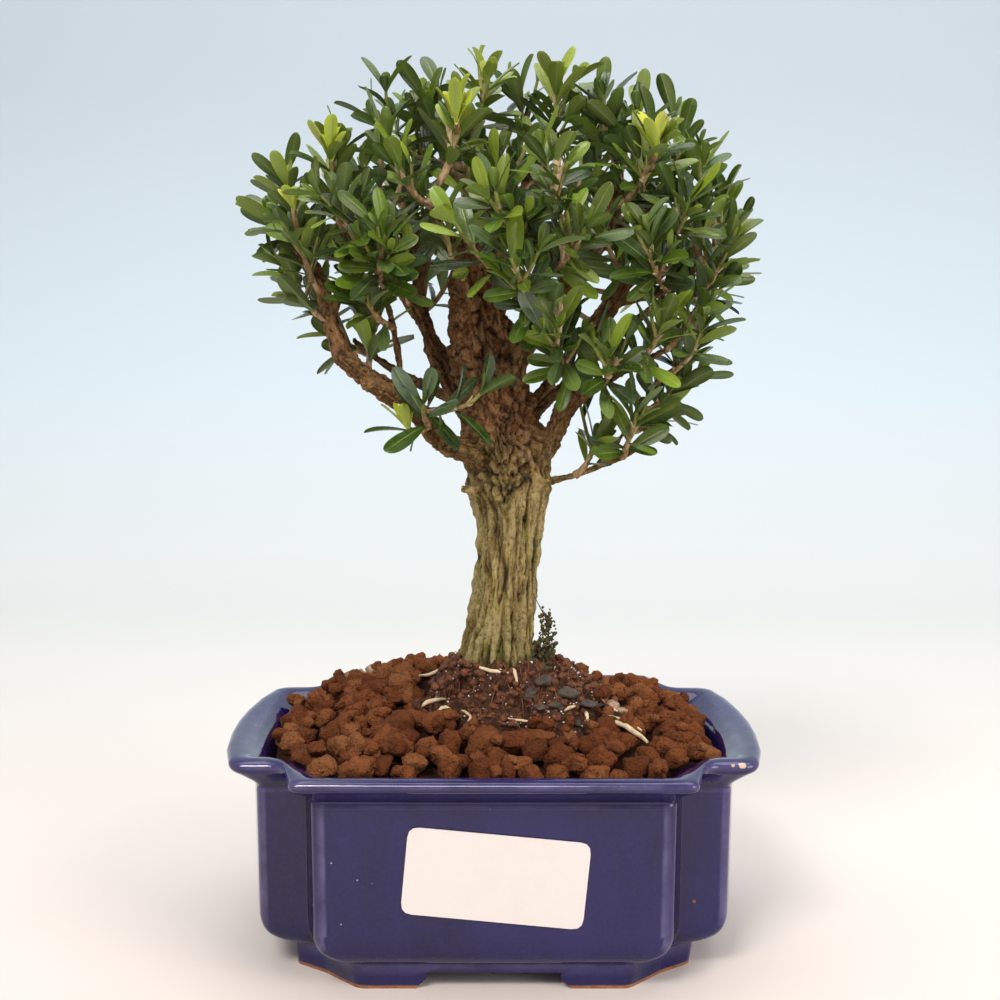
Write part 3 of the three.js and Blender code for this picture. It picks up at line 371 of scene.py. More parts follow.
class Nodes:
    """A short way to write a material's nodes."""

    def __init__(self, name):
        self.material = bpy.data.materials.new(name)
        self.material.use_nodes = True
        self.tree = self.material.node_tree
        self.shader = self.tree.nodes["Principled BSDF"]
        self.place = self.tree.nodes.new("ShaderNodeTexCoord").outputs["Object"]

    def put(self, kind, **settings):
        node = self.tree.nodes.new(kind)
        for key, value in settings.items():
            setattr(node, key, value)
        return node

    def feed(self, socket, value):
        if hasattr(value, "is_linked"):
            self.tree.links.new(value, socket)
        else:
            socket.default_value = value

    def scaled(self, vector, scale):
        node = self.put("ShaderNodeVectorMath", operation="MULTIPLY")
        self.feed(node.inputs[0], vector)
        node.inputs[1].default_value = scale if hasattr(scale, "__len__") else (scale, scale, scale)
        return node.outputs[0]

    def noise(self, vector, scale, detail=4, rough=0.55, distortion=0.0):
        node = self.put("ShaderNodeTexNoise")
        self.feed(node.inputs["Vector"], vector)
        node.inputs["Scale"].default_value = scale
        node.inputs["Detail"].default_value = detail
        node.inputs["Roughness"].default_value = rough
        node.inputs["Distortion"].default_value = distortion
        return node.outputs["Fac"]

    def cells(self, vector, scale, feature="F1", output="Distance"):
        node = self.put("ShaderNodeTexVoronoi", feature=feature)
        self.feed(node.inputs["Vector"], vector)
        node.inputs["Scale"].default_value = scale
        return node.outputs[output]

    def ramp(self, value, *stops):
        """A number mapped through (place, grey or colour) stops."""
        node = self.put("ShaderNodeValToRGB")
        self.feed(node.inputs[0], value)
        elements = node.color_ramp.elements
        while len(elements) < len(stops):
            elements.new(0.5)
        for element, (place, colour) in zip(elements, stops):
            element.position = place
            element.color = (*colour, 1) if hasattr(colour, "__len__") else (colour, colour, colour, 1)
        return node.outputs["Color"]

    def mix(self, share, first, second, blend="MIX"):
        node = self.put("ShaderNodeMix", data_type="RGBA", blend_type=blend)
        self.feed(node.inputs[0], share)
        for socket, colour in ((node.inputs[6], first), (node.inputs[7], second)):
            self.feed(socket, (*colour, 1) if hasattr(colour, "__len__") else colour)
        return node.outputs[2]

    def math(self, operation, first, second=0.0):
        node = self.put("ShaderNodeMath", operation=operation)
        self.feed(node.inputs[0], first)
        self.feed(node.inputs[1], second)
        return node.outputs[0]

    def parts(self, vector):
        node = self.put("ShaderNodeSeparateXYZ")
        self.feed(node.inputs[0], vector)
        return node.outputs

    def attribute(self, name):
        return self.put("ShaderNodeAttribute", attribute_name=name).outputs["Vector"]

    def bump(self, height, strength, distance, below=None):
        node = self.put("ShaderNodeBump")
        self.feed(node.inputs["Height"], height)
        node.inputs["Strength"].default_value = strength
        node.inputs["Distance"].default_value = distance
        if below is not None:
            self.feed(node.inputs["Normal"], below)
        return node.outputs["Normal"]

    def finish(self, colour, roughness, normal=None, **settings):
        self.feed(self.shader.inputs["Base Color"], colour)
        self.feed(self.shader.inputs["Roughness"], roughness)
        if normal is not None:
            self.feed(self.shader.inputs["Normal"], normal)
        for key, value in settings.items():
            self.shader.inputs[key.replace("_", " ")].default_value = value
        return self.material


def glaze_material():
    """Cobalt glaze that pools dark, breaks pale over its edges and stops above bare clay at the feet. It is
    darkened with painted shade under the lip and in the notches beside the panels.
    """
    n = Nodes("cobalt_glaze")
    x, y, z = n.parts(n.place)
    thin, pool_and_shade, _ = n.parts(n.attribute("thin"))
    drift = n.noise(n.scaled(n.place, (1, 1, 0.45)), 46, 5, 0.6)
    body = n.ramp(drift, (0.32, (0.004, 0.003, 0.042)), (0.52, (0.007, 0.005, 0.066)),
                  (0.72, (0.011, 0.009, 0.09)))
    fine = n.noise(n.place, 900, 3, 0.6)
    body = n.mix(n.ramp(fine, (0.4, 0.0), (0.75, 0.3)), body, (0.024, 0.018, 0.1))
    patchy = n.math("MULTIPLY", thin, n.ramp(n.noise(n.place, 120, 4, 0.6), (0.3, 0.3), (0.65, 1.0)))
    broken = n.mix(patchy, body, (0.15, 0.13, 0.27))
    # Painted shade: the glaze darkened under the lip and in the notches beside the panels, along with the
    # pooled glaze.
    broken = n.mix(pool_and_shade, broken, (0.002, 0.001, 0.012))
    specks = n.ramp(n.cells(n.place, 260), (0.04, 1.0), (0.075, 0.0))
    rare = n.ramp(n.noise(n.place, 34, 2), (0.58, 0.0), (0.66, 1.0))
    speckled = n.mix(n.math("MULTIPLY", specks, rare), broken, (0.3, 0.3, 0.38))
    for place, radius, tone in GLAZE_SPOTS:
        squares = [n.math("POWER", n.math("SUBTRACT", part, middle), 2.0)
                   for part, middle in zip((x, y, z), place)]
        away = n.math("SQRT", n.math("ADD", squares[0], n.math("ADD", squares[1], squares[2])))
        grain = n.math("ADD", 0.6, n.noise(n.place, 900, 3))
        ragged = n.math("MULTIPLY", n.math("DIVIDE", away, radius), grain)
        speckled = n.mix(n.ramp(ragged, (0.8, 1.0), (1.0, 0.0)), speckled, tone)
    edge = n.math("ADD", z, n.math("MULTIPLY", n.noise(n.place, 150, 3), 0.0006))
    bare = n.ramp(n.math("MULTIPLY", edge, 100), (0.1, 1.0), (0.14, 0.0))
    clay = n.ramp(n.noise(n.place, 420, 4), (0.3, (0.22, 0.08, 0.03)), (0.7, (0.4, 0.17, 0.07)))
    colour = n.mix(bare, speckled, clay)
    pits = n.ramp(n.cells(n.place, 330), (0.03, 0.0), (0.09, 1.0))
    orange = n.noise(n.place, 210, 3, 0.5)
    height = n.math("ADD", n.math("MULTIPLY", orange, 0.7), n.math("MULTIPLY", pits, 0.16))
    rough = n.mix(bare, n.ramp(drift, (0.3, 0.05), (0.7, 0.1)), (0.85, 0.85, 0.85))
    return n.finish(colour, rough, n.bump(height, 0.22, 0.0005), Specular_IOR_Level=0.5)


def paper_material():
    """White coated paper with a faint fibre and a little handling dirt."""
    n = Nodes("label_paper")
    fibre = n.noise(n.scaled(n.place, (1, 1, 1.6)), 900, 4, 0.7)
    dirt = n.noise(n.place, 60, 4, 0.6)
    colour = n.mix(n.ramp(fibre, (0.3, 0.0), (0.8, 0.3)), (0.74, 0.69, 0.665), (0.67, 0.62, 0.595))
    colour = n.mix(n.ramp(dirt, (0.5, 0.0), (0.8, 0.35)), colour, (0.64, 0.58, 0.52))
    return n.finish(colour, n.ramp(dirt, (0.3, 0.38), (0.7, 0.5)), n.bump(fibre, 0.12, 0.0001))


def net_material():
    """Dark moulded plastic net, dusted with soil."""
    n = Nodes("drain_net")
    dust = n.noise(n.place, 320, 5, 0.65)
    colour = n.mix(n.ramp(dust, (0.45, 0.0), (0.7, 1.0)), (0.03, 0.034, 0.03), (0.16, 0.085, 0.05))
    return n.finish(colour, n.ramp(dust, (0.4, 0.45), (0.7, 0.9)), n.bump(dust, 0.3, 0.0002))


def granule_material():
    """Baked clay: porous, red-brown, lighter where it is dry and worn."""
    n = Nodes("clay_granules")
    tone = n.parts(n.attribute("tone"))
    base = n.ramp(tone[0], (0.0, (0.15, 0.038, 0.011)), (0.45, (0.25, 0.072, 0.022)),
                  (0.8, (0.34, 0.112, 0.036)), (1.0, (0.37, 0.145, 0.052)))
    cloud = n.noise(n.place, 260, 5, 0.65)
    colour = n.mix(n.ramp(cloud, (0.35, 0.0), (0.75, 0.7)), base, n.mix(0.5, base, (0.36, 0.125, 0.042)))
    pores = n.ramp(n.cells(n.scaled(n.place, (1, 1.1, 0.9)), 760), (0.08, 0.0), (0.4, 1.0))
    grain = n.noise(n.place, 1500, 5, 0.7)
    lumps = n.noise(n.place, 430, 4, 0.65)
    colour = n.mix(n.ramp(pores, (0.0, 0.5), (0.5, 0.0)), colour, (0.06, 0.017, 0.007))
    colour = n.mix(n.ramp(lumps, (0.34, 0.6), (0.47, 0.0)), colour, (0.06, 0.015, 0.005))
    colour = n.mix(n.ramp(grain, (0.58, 0.0), (0.75, 0.45)), colour, (0.38, 0.16, 0.065))
    height = n.math("ADD", n.math("MULTIPLY", pores, 0.5), grain)
    height = n.math("ADD", height, n.math("MULTIPLY", lumps, 1.3))
    return n.finish(colour, 0.95, n.bump(height, 1.0, 0.002), Specular_IOR_Level=0.12)


def bed_material():
    n = Nodes("soil_bed_fines_with_painted_shade")
    grain = n.noise(n.place, 700, 5, 0.7)
    # Near-black fines: painted shade for the gaps between the granules above them.
    colour = n.ramp(grain, (0.3, (0.014, 0.004, 0.002)), (0.7, (0.06, 0.019, 0.008)))
    return n.finish(colour, 0.95, n.bump(grain, 1.0, 0.001), Specular_IOR_Level=0.1)


def peat_material():
    """Dark wet peat with rusty fibres."""
    n = Nodes("peat")
    grain = n.noise(n.place, 620, 6, 0.72)
    fibre = n.noise(n.scaled(n.place, (1, 0.35, 2.2)), 900, 3, 0.6, 1.2)
    colour = n.ramp(grain, (0.3, (0.016, 0.006, 0.003)), (0.52, (0.075, 0.027, 0.012)),
                    (0.72, (0.26, 0.1, 0.045)))
    colour = n.mix(n.ramp(fibre, (0.6, 0.0), (0.7, 0.8)), colour, (0.24, 0.09, 0.04))
    height = n.math("ADD", grain, n.math("MULTIPLY", fibre, 0.5))
    return n.finish(colour, n.ramp(grain, (0.3, 0.4), (0.7, 0.95)), n.bump(height, 1.0, 0.0014),
                    Specular_IOR_Level=0.25)


def grit_material(name, dark, light, scale=700):
    """Small stones, perlite or crumbs: two tones with pores."""
    n = Nodes(name)
    cloud = n.noise(n.place, scale, 5, 0.65)
    colour = n.ramp(cloud, (0.3, dark), (0.7, light))
    return n.finish(colour, n.ramp(cloud, (0.3, 0.5), (0.7, 0.9)), n.bump(cloud, 0.9, 0.0009),
                    Specular_IOR_Level=0.25)


def root_material():
    """Pale roots with darker skin along their length."""
    n = Nodes("pale_root")
    skin = n.noise(n.place, 380, 4, 0.6)
    colour = n.ramp(skin, (0.28, (0.26, 0.15, 0.07)), (0.42, (0.56, 0.42, 0.24)), (0.7, (0.76, 0.64, 0.44)))
    return n.finish(colour, 0.62, n.bump(skin, 0.5, 0.0003))


def bark_material():
    """Flaking bark: khaki with moss on the trunk, rusty on the head, tan on the limbs, with painted shade in
    its clefts and grooves.
    """
    n = Nodes("flaking_bark")
    grain = n.attribute("grain")
    region, ridge, plate = n.parts(n.attribute("bark"))
    streak = n.noise(grain, 0.55, 6, 0.72, 0.4)
    fine = n.noise(grain, 2.1, 5, 0.75)
    cloud = n.noise(n.place, 75, 4, 0.6)
    trunk = n.ramp(streak, (0.28, (0.12, 0.077, 0.023)), (0.43, (0.3, 0.21, 0.066)),
                   (0.56, (0.54, 0.4, 0.14)), (0.72, (0.8, 0.64, 0.3)))
    moss = n.ramp(n.noise(n.place, 190, 5, 0.75), (0.3, (0.11, 0.125, 0.014)), (0.7, (0.35, 0.36, 0.055)))
    mossy = n.ramp(cloud, (0.42, 0.0), (0.58, 0.85))
    mossy = n.math("MULTIPLY", mossy, n.ramp(fine, (0.35, 0.15), (0.6, 1.0)))
    trunk = n.mix(mossy, trunk, moss)
    rust = n.ramp(streak, (0.26, (0.05, 0.016, 0.004)), (0.43, (0.165, 0.058, 0.014)),
                  (0.56, (0.34, 0.14, 0.04)), (0.76, (0.6, 0.35, 0.145)))
    rust = n.mix(n.ramp(plate, (0.1, 0.0), (0.9, 0.6)), rust, n.mix(0.5, rust, (0.5, 0.33, 0.15)))
    colour = n.mix(n.ramp(region, (0.0, 0.0), (1.0, 1.0)), trunk, rust)
    flake = n.ramp(n.noise(grain, 1.15, 4, 0.6, 0.8), (0.56, 0.0), (0.63, 1.0))
    colour = n.mix(n.math("MULTIPLY", flake, 0.4), colour, (0.52, 0.38, 0.22))
    colour = n.mix(n.ramp(fine, (0.33, 0.7), (0.47, 0.0)), colour, (0.04, 0.022, 0.01))
    # Painted shade: near-black in the clefts, the seams between plates and the grooves between strands.
    colour = n.mix(n.ramp(ridge, (0.04, 0.94), (0.46, 0.0)), colour, (0.022, 0.011, 0.004))
    worn = n.mix(region, (0.7, 0.56, 0.3), (0.42, 0.22, 0.1))
    colour = n.mix(n.ramp(ridge, (0.76, 0.0), (1.0, 0.42)), colour, worn)
    _, _, z = n.parts(n.place)
    low = n.math("ADD", z, n.math("MULTIPLY", n.noise(n.place, 260, 4, 0.7), 0.012))
    foot = n.ramp(n.math("MULTIPLY", low, 10), (0.845, 0.6), (0.895, 0.0))
    colour = n.mix(foot, colour, (0.09, 0.038, 0.016))
    crust = n.noise(n.place, 820, 5, 0.72)
    colour = n.mix(n.ramp(crust, (0.36, 0.6), (0.5, 0.0)), colour, (0.06, 0.034, 0.014))
    colour = n.mix(n.ramp(crust, (0.56, 0.0), (0.72, 0.4)), colour, n.mix(0.5, colour, (0.75, 0.62, 0.4)))
    height = n.math("ADD", n.math("ADD", streak, n.math("MULTIPLY", fine, 0.9)), crust)
    return n.finish(colour, 0.92, n.bump(height, 1.0, 0.0013), Specular_IOR_Level=0.2)


def twig_material():
    """Twigs: tan and woody at the foot, green near the tip."""
    n = Nodes("young_twigs")
    share, _, woody = n.parts(n.attribute("leaf"))
    skin = n.noise(n.scaled(n.place, (1, 1, 0.4)), 700, 4, 0.65)
    wood = n.ramp(skin, (0.3, (0.1, 0.05, 0.018)), (0.5, (0.31, 0.19, 0.08)), (0.72, (0.6, 0.45, 0.26)))
    green = n.ramp(skin, (0.3, (0.13, 0.15, 0.02)), (0.7, (0.27, 0.3, 0.05)))
    wood = n.mix(n.math("MULTIPLY", woody, 0.55), wood, (0.7, 0.55, 0.33))
    fresh = n.math("MULTIPLY", n.ramp(share, (0.6, 0.0), (0.95, 1.0)), n.math("SUBTRACT", 1.0, woody))
    colour = n.mix(fresh, wood, green)
    return n.finish(colour, 0.75, n.bump(skin, 0.6, 0.0004))


def leaf_material():
    """Boxwood leaves: deep green above and pale below, with a light midrib, yellow-green when young, and a
    painted grey-blue sheen on some.
    """
    n = Nodes("boxwood_leaves")
    share, across, under = n.parts(n.attribute("leaf"))
    tone, young, painted_sheen = n.parts(n.attribute("tone"))
    old = n.ramp(tone, (0.0, (0.007, 0.026, 0.003)), (0.35, (0.024, 0.062, 0.005)),
                 (0.7, (0.08, 0.155, 0.011)), (1.0, (0.19, 0.29, 0.022)))
    # Painted reflection: a grey-blue sheen of the sky mixed into the colour of some leaves.
    old = n.mix(n.ramp(painted_sheen, (0.72, 0.0), (1.0, 0.55)), old, (0.1, 0.145, 0.1))
    fresh = n.ramp(tone, (0.0, (0.36, 0.44, 0.02)), (1.0, (0.55, 0.57, 0.045)))
    colour = n.mix(young, old, fresh)
    cloud = n.noise(n.place, 330, 4, 0.6)
    colour = n.mix(n.ramp(cloud, (0.35, 0.0), (0.75, 0.35)), colour, n.mix(0.5, colour, (0.2, 0.3, 0.05)))
    off = n.math("ABSOLUTE", across)
    rib = n.math("MULTIPLY", n.ramp(off, (0.03, 1.0), (0.11, 0.0)), n.ramp(share, (0.55, 1.0), (0.95, 0.1)))
    colour = n.mix(n.math("MULTIPLY", rib, 0.8), colour, n.mix(0.5, colour, (0.46, 0.5, 0.14)))
    veins = n.noise(n.scaled(n.attribute("leaf"), (34, 9, 0)), 1.0, 3, 0.6)
    margin = n.ramp(off, (0.86, 0.0), (1.0, 0.35))
    colour = n.mix(margin, colour, n.mix(0.4, colour, (0.3, 0.36, 0.1)))
    below = n.mix(0.55, colour, (0.17, 0.25, 0.085))
    colour = n.mix(under, colour, below)
    height = n.math("ADD", n.math("MULTIPLY", veins, 0.5), n.math("MULTIPLY", rib, -0.8))
    rough = n.mix(under, n.ramp(cloud, (0.3, 0.22), (0.7, 0.34)), (0.6, 0.6, 0.6))
    return n.finish(colour, rough, n.bump(height, 0.45, 0.00025), Specular_IOR_Level=0.36)


# The pot

def rounded_corner(before, corner, after, radius, steps):
    into, out = unit(corner - before), unit(after - corner)
    turn = abs(math.atan2(into[0] * out[1] - into[1] * out[0], float(into @ out)))
    reach = radius * math.tan(turn / 2)
    start, end = corner - into * reach, corner + out * reach
    share = np.linspace(0, 1, steps + 1)[:, None]
    return (1 - share) ** 2 * start + 2 * share * (1 - share) * corner + share ** 2 * end


def quarter_outline(plan, inset=0.0, steps=8):
    side, lobe, front = plan["side"] - inset, plan["lobe_end"] - inset, plan["front"] - inset
    corners = np.array([
        (side, 0), (side - plan["bow"], lobe), (plan["notch"][0] - inset, plan["notch"][1] - inset),
        (plan["front_end"] - inset, front), (0, front),
    ], float)
    rounds = [rounded_corner(corners[i - 1], corners[i], corners[i + 1], plan["rounding"][i - 1], steps)
              for i in (1, 2, 3)]
    bowed = np.array([(side - plan["bow"] * 0.1, lobe * 0.3), (side - plan["bow"] * 0.42, lobe * 0.65)])
    beside = [between(rounds[0][0], bowed[-1], share) for share in (0.3, 0.1)]
    level = [(rounds[-1][-1][0] * share, front) for share in (0.98, 0.94, 0.66, 0.33, 0)]
    return np.concatenate([corners[:1], bowed, beside, *rounds, level])


def blended_plan(first, second, share):
    return {key: [between(a, b, share) for a, b in zip(value, second[key])] if hasattr(value, "__len__")
            else between(value, second[key], share) for key, value in first.items()}


def outline(plan, inset=0.0, steps=8):
    """The whole plan, counter-clockwise, from the middle of the right side."""
    quarter = quarter_outline(plan, inset, steps)
    mirrored = (quarter * (-1, 1))[::-1]
    return np.concatenate([quarter, mirrored[1:], -quarter[1:], -mirrored[1:-1]])


def ring(z, plan, inset=0.0, steps=8):
    flat = outline(plan, inset, steps)
    return np.column_stack([flat, np.full(len(flat), float(z))])


def cut_corners(rings):
    """Rings between the given ones, so that the profile turns smoothly."""
    made = [rings[0]]
    for first, second in zip(rings, rings[1:]):
        made += [first * 0.75 + second * 0.25, first * 0.25 + second * 0.75]
    return made + [rings[-1]]


def prism(flat, low, high):
    """A closed prism over a counter-clockwise outline, as a mesh for cutting."""
    flat = np.asarray(flat, float)
    points = np.concatenate([np.column_stack([flat, np.full(len(flat), z)]) for z in (low, high)])
    return points, ring_faces(2, len(flat))


def cutter(points, faces):
    mesh = bpy.data.meshes.new("cutter")
    mesh.from_pydata((np.asarray(points) * MM).tolist(), [], faces)
    return linked("cutter", mesh)


def foot_cutters():
    """The hollow inside the feet, the gaps between them, and the drain holes."""
    x, y = RECESS_HALF
    c = RECESS_CHAMFER
    half = [(x, c - y), (x, y - c), (x - c, y), (c - x, y)]
    octagon = half + [(-px, -py) for px, py in half]
    made = [cutter(*prism(octagon, -2, FOOT_HEIGHT))]
    for (top, sole), turn in ((FRONT_GAP_HALF, 0), (SIDE_GAP_HALF, 90)):
        share = np.linspace(0, 1, 7)
        curve = [(between(sole, top, s) - 1.1 * math.sin(math.pi * s), between(-0.01, FOOT_HEIGHT, s ** 0.8))
                 for s in share]
        right = [(sole, -2)] + curve
        flat = right + [(-px, pz) for px, pz in reversed(right)]
        points, faces = prism(flat, -75, 75)
        points = points[:, [0, 2, 1]]
        faces = [tuple(reversed(face)) for face in faces]
        turn = np.array(Matrix.Rotation(math.radians(turn), 3, "Z"))
        made.append(cutter(points @ turn.T, faces))
    for side in (-1, 1):
        angles = np.arange(28) * 2 * math.pi / 28
        circle = DRAIN_RADIUS * np.column_stack([np.cos(angles), np.sin(angles)]) + (side * DRAIN_X, 0)
        made.append(cutter(*prism(circle, -5, 15)))
    return made


def applied(piece):
    """Puts the result of a piece's modifiers into its mesh."""
    graph = bpy.context.evaluated_depsgraph_get()
    mesh = bpy.data.meshes.new_from_object(piece.evaluated_get(graph))
    piece.modifiers.clear()
    old = piece.data
    piece.data = mesh
    mesh.name = old.name
    bpy.data.meshes.remove(old)
    return mesh


def near(value, middle, width):
    return np.clip(1 - np.abs(value - middle) / width, 0, 1)


def glaze_thinness(points):
    """How thin the glaze lies: most over the rim's edges, the panel's corners and the foot band."""
    x, y, z = np.abs(points[:, 0]), np.abs(points[:, 1]), points[:, 2]
    lip = near(z, 60.6, 1.5) * ((x > 70) | (y > 55) | ((x > 52) & (y > 40)))
    shoulder = near(z, 52.7, 0.8) * 0.8
    panel = (z > 12) & (z < 53)
    corner = near(np.hypot(x - 44.3, y - 48.8), 3.5, 0.9) * (x > 45.2) * (y > 49.8) * panel * 0.7
    lobe = near(np.hypot(x - 61.4, y - 34.8), 4, 0.9) * (x > 62.6) * (y > 36) * panel * 0.5
    band = near(z, 7.2, 0.7) * 0.6
    return np.clip(lip * 0.55 + shoulder * 0.5 + corner + lobe + band, 0, 1)


def glaze_pools_and_painted_shade(points):
    """How thick the glaze has run in the notches beside the front and back panels, together with painted
    shade there and under the lip, where it darkens the glaze.
    """
    x, y, z = np.abs(points[:, 0]), np.abs(points[:, 1]), points[:, 2]
    notch = near(x, 50.2, 2.2) * (y > 37) * (y < 50.4) * (z > 9) * (z < 57)
    return np.clip(notch * 1.4 + near(z, 54.6, 1.3) * 0.5, 0, 1)


def pot(material):
    rings = [ring(z, blended_plan(a, b, share)) for z, a, b, share in POT_LEVELS]
    upper = cut_corners(cut_corners(rings[1:]))
    rings = [rings[0], rings[0] * 0.5 + rings[1] * 0.5] + upper
    shape = Shape()
    shape.add(np.concatenate(rings), ring_faces(len(rings), len(rings[0])))
    piece = shape.build("glazed_pot", material, "glaze")
    for tool in foot_cutters():
        cut = piece.modifiers.new("cut", "BOOLEAN")
        cut.operation = "DIFFERENCE"
        cut.object = tool
        cut.solver = "EXACT"
    soften = piece.modifiers.new("soften", "BEVEL")
    soften.width = 0.5 * MM
    soften.segments = 2
    soften.limit_method = "ANGLE"
    soften.angle_limit = math.radians(50)
    mesh = applied(piece)
    for tool in [o for o in bpy.data.objects if o.name.startswith("cutter")]:
        bpy.data.objects.remove(tool)
    points, _ = points_and_normals(mesh)
    # The second value darkens the glaze with pooled glaze and painted shade in the notches and under the lip.
    thin = [glaze_thinness(points), glaze_pools_and_painted_shade(points), np.zeros(len(points))]
    set_values(mesh, "thin", np.column_stack(thin))
    shade_smooth(mesh, 38)
    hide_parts("pot")


# Soil and root mound

def soil_height(x, y):
    rise = min(1, max(0, (y - HEAP["front"]) / (HEAP["ridge"] - HEAP["front"])))
    fall = max(0, y - HEAP["ridge"]) / (HEAP["back"] - HEAP["ridge"])
    side = 1 - min(1, abs(x) / HEAP["side"]) ** 3
    step = min(1, max(0, x / 25))
    lower = between(1, HEAP["right_share"], step * step * (3 - 2 * step)) if y > 0 else 1
    return SOIL_EDGE_Z + HEAP["height"] * lower * rise * max(0, 1 - fall * fall) * side


def mound_reach(x, y, z):
    """How far out (x, y) is on the mound at a height, 1 on its surface."""
    rings = np.array(MOUND_RINGS)
    cx, cy, w, d = (np.interp(z, rings[:, 0], rings[:, k]) for k in (1, 2, 3, 4))
    return math.hypot((x - cx) / w, (y - cy) / d)


def inside_pot(x, y, z, margin):
    """Whether a granule of this size at (x, y) is clear of the pot's inner wall."""
    edge = quarter_outline(blended_plan(MOUTH_PLAN, INSIDE_PLAN, min(1, max(0.35, (62 - z) / 5))), 0, 3)
    point = np.array((abs(x), abs(y)))
    starts, spans = edge[:-1], edge[1:] - edge[:-1]
    share = np.clip(((point - starts) * spans).sum(1) / (spans ** 2).sum(1), 0, 1)
    away = point - starts - share[:, None] * spans
    nearest = np.argmin((away ** 2).sum(1))
    outward = np.array((spans[nearest][1], -spans[nearest][0]))
    return away[nearest] @ outward < 0 and math.hypot(*away[nearest]) > margin


def soil_bed(material):
    """The fines under the granules: fills the pot up to just under them, near-black so that the gaps between
    the granules show painted shade.
    """
    rings = [ring(10.4, FLOOR_PLAN, 0.4, 3), ring(20, blended_plan(INSIDE_PLAN, FLOOR_PLAN, 0.3), 0.4, 3),
             ring(56.4, INSIDE_PLAN, 0.4, 3)]
    edge = rings[-1]
    for share in (0.97, 0.9, 0.8, 0.68, 0.55, 0.42, 0.3, 0.2, 0.1, 0.03):
        level = edge * (share, share, 1)
        for p in level:
            p[2] = soil_height(p[0], p[1]) - BED_BELOW + 1.1 * noise.noise(Vector(p) * 0.35)
        rings.append(level)
    shape = Shape()
    shape.add(np.concatenate(rings), ring_faces(len(rings), len(edge)))
    bed = shape.build("soil_bed", material, "granules", 60)
    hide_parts("soil")


def granule_places():
    """A seeded bed of large granules, then smaller ones over the gaps: (x, y, z, radius, seed)."""
    places = []
    for layer, (pitch, low, high, lift) in enumerate(GRANULE_LAYERS):
        for j in range(-10, 11):
            for i in range(-12, 13):
                seed = layer * 5000 + (j + 40) * 61 + i + 40
                if layer and chance(seed, 1, 111) < UPPER_GAPS:
                    continue
                x = (i + (j % 2) * 0.5 + between(-0.33, 0.33, chance(seed, 2, 111))) * pitch
                y = (j * 0.87 + between(-0.3, 0.3, chance(seed, 3, 111))) * pitch
                radius = between(low, high, chance(seed, 4, 111) ** 1.4)
                z = soil_height(x, y) + lift + between(-0.7, 0.9, chance(seed, 5, 111))
                if inside_pot(x, y, z, radius * 0.75) and mound_reach(x, y, max(z, 62)) > 1.0 + radius / 40:
                    places.append((x, y, z, radius, seed))
    return places


def granules(material):
    shape = Shape()
    for x, y, z, radius, seed in granule_places():
        level = 3 if radius > 2.1 else 2
        flat = between(0.72, 0.95, chance(seed, 6, 111))
        points, faces = crumb((x, y, z), radius, seed, level, flat, 14, 0.11)
        shape.add(points, faces, tone=(chance(seed, 7, 111), 0, 0))
    shape.build("granule_layer", material, "granules", 75)


def remeshed(name, node, voxel, smoothing):
    """A fine copy of a CAD node's mesh."""
    piece = linked(name, frame["nodes"][node].data.copy())
    grid = piece.modifiers.new("grid", "REMESH")
    grid.mode = "VOXEL"
    grid.voxel_size = voxel * MM
    smooth = piece.modifiers.new("smooth", "SMOOTH")
    smooth.iterations = smoothing
    smooth.factor = 0.5
    mesh = applied(piece)
    bpy.data.objects.remove(piece)
    mesh.name = name
    return mesh


def points_and_normals(mesh):
    count = len(mesh.vertices)
    points, normals = np.zeros(count * 3), np.zeros(count * 3)
    mesh.vertices.foreach_get("co", points)
    mesh.vertices.foreach_get("normal", normals)
    return points.reshape(-1, 3) / MM, normals.reshape(-1, 3)


def set_points(mesh, points):
    mesh.vertices.foreach_set("co", (points * MM).astype(np.float32).ravel())
    mesh.update()


def mound(material):
    mesh = remeshed("root_ball", "root_mound", MOUND_VOXEL, 3)
    points, normals = points_and_normals(mesh)
    lumps = np.array([noise.turbulence(Vector(p) * 0.2, 5, False) for p in points])
    points += normals * ((lumps - 0.75) * 1.8)[:, None]
    set_points(mesh, points)
    ball_piece = placed(mesh, "root_ball", material, "peat", 60)
    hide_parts("root_mound")
    return BVHTree.FromPolygons([Vector(p) for p in points], [tuple(f.vertices) for f in mesh.polygons])


def on_mound(tree, x, y):
    hit, _, _, _ = tree.ray_cast(Vector((x, y, 120)), Vector((0, 0, -1)))
    return hit


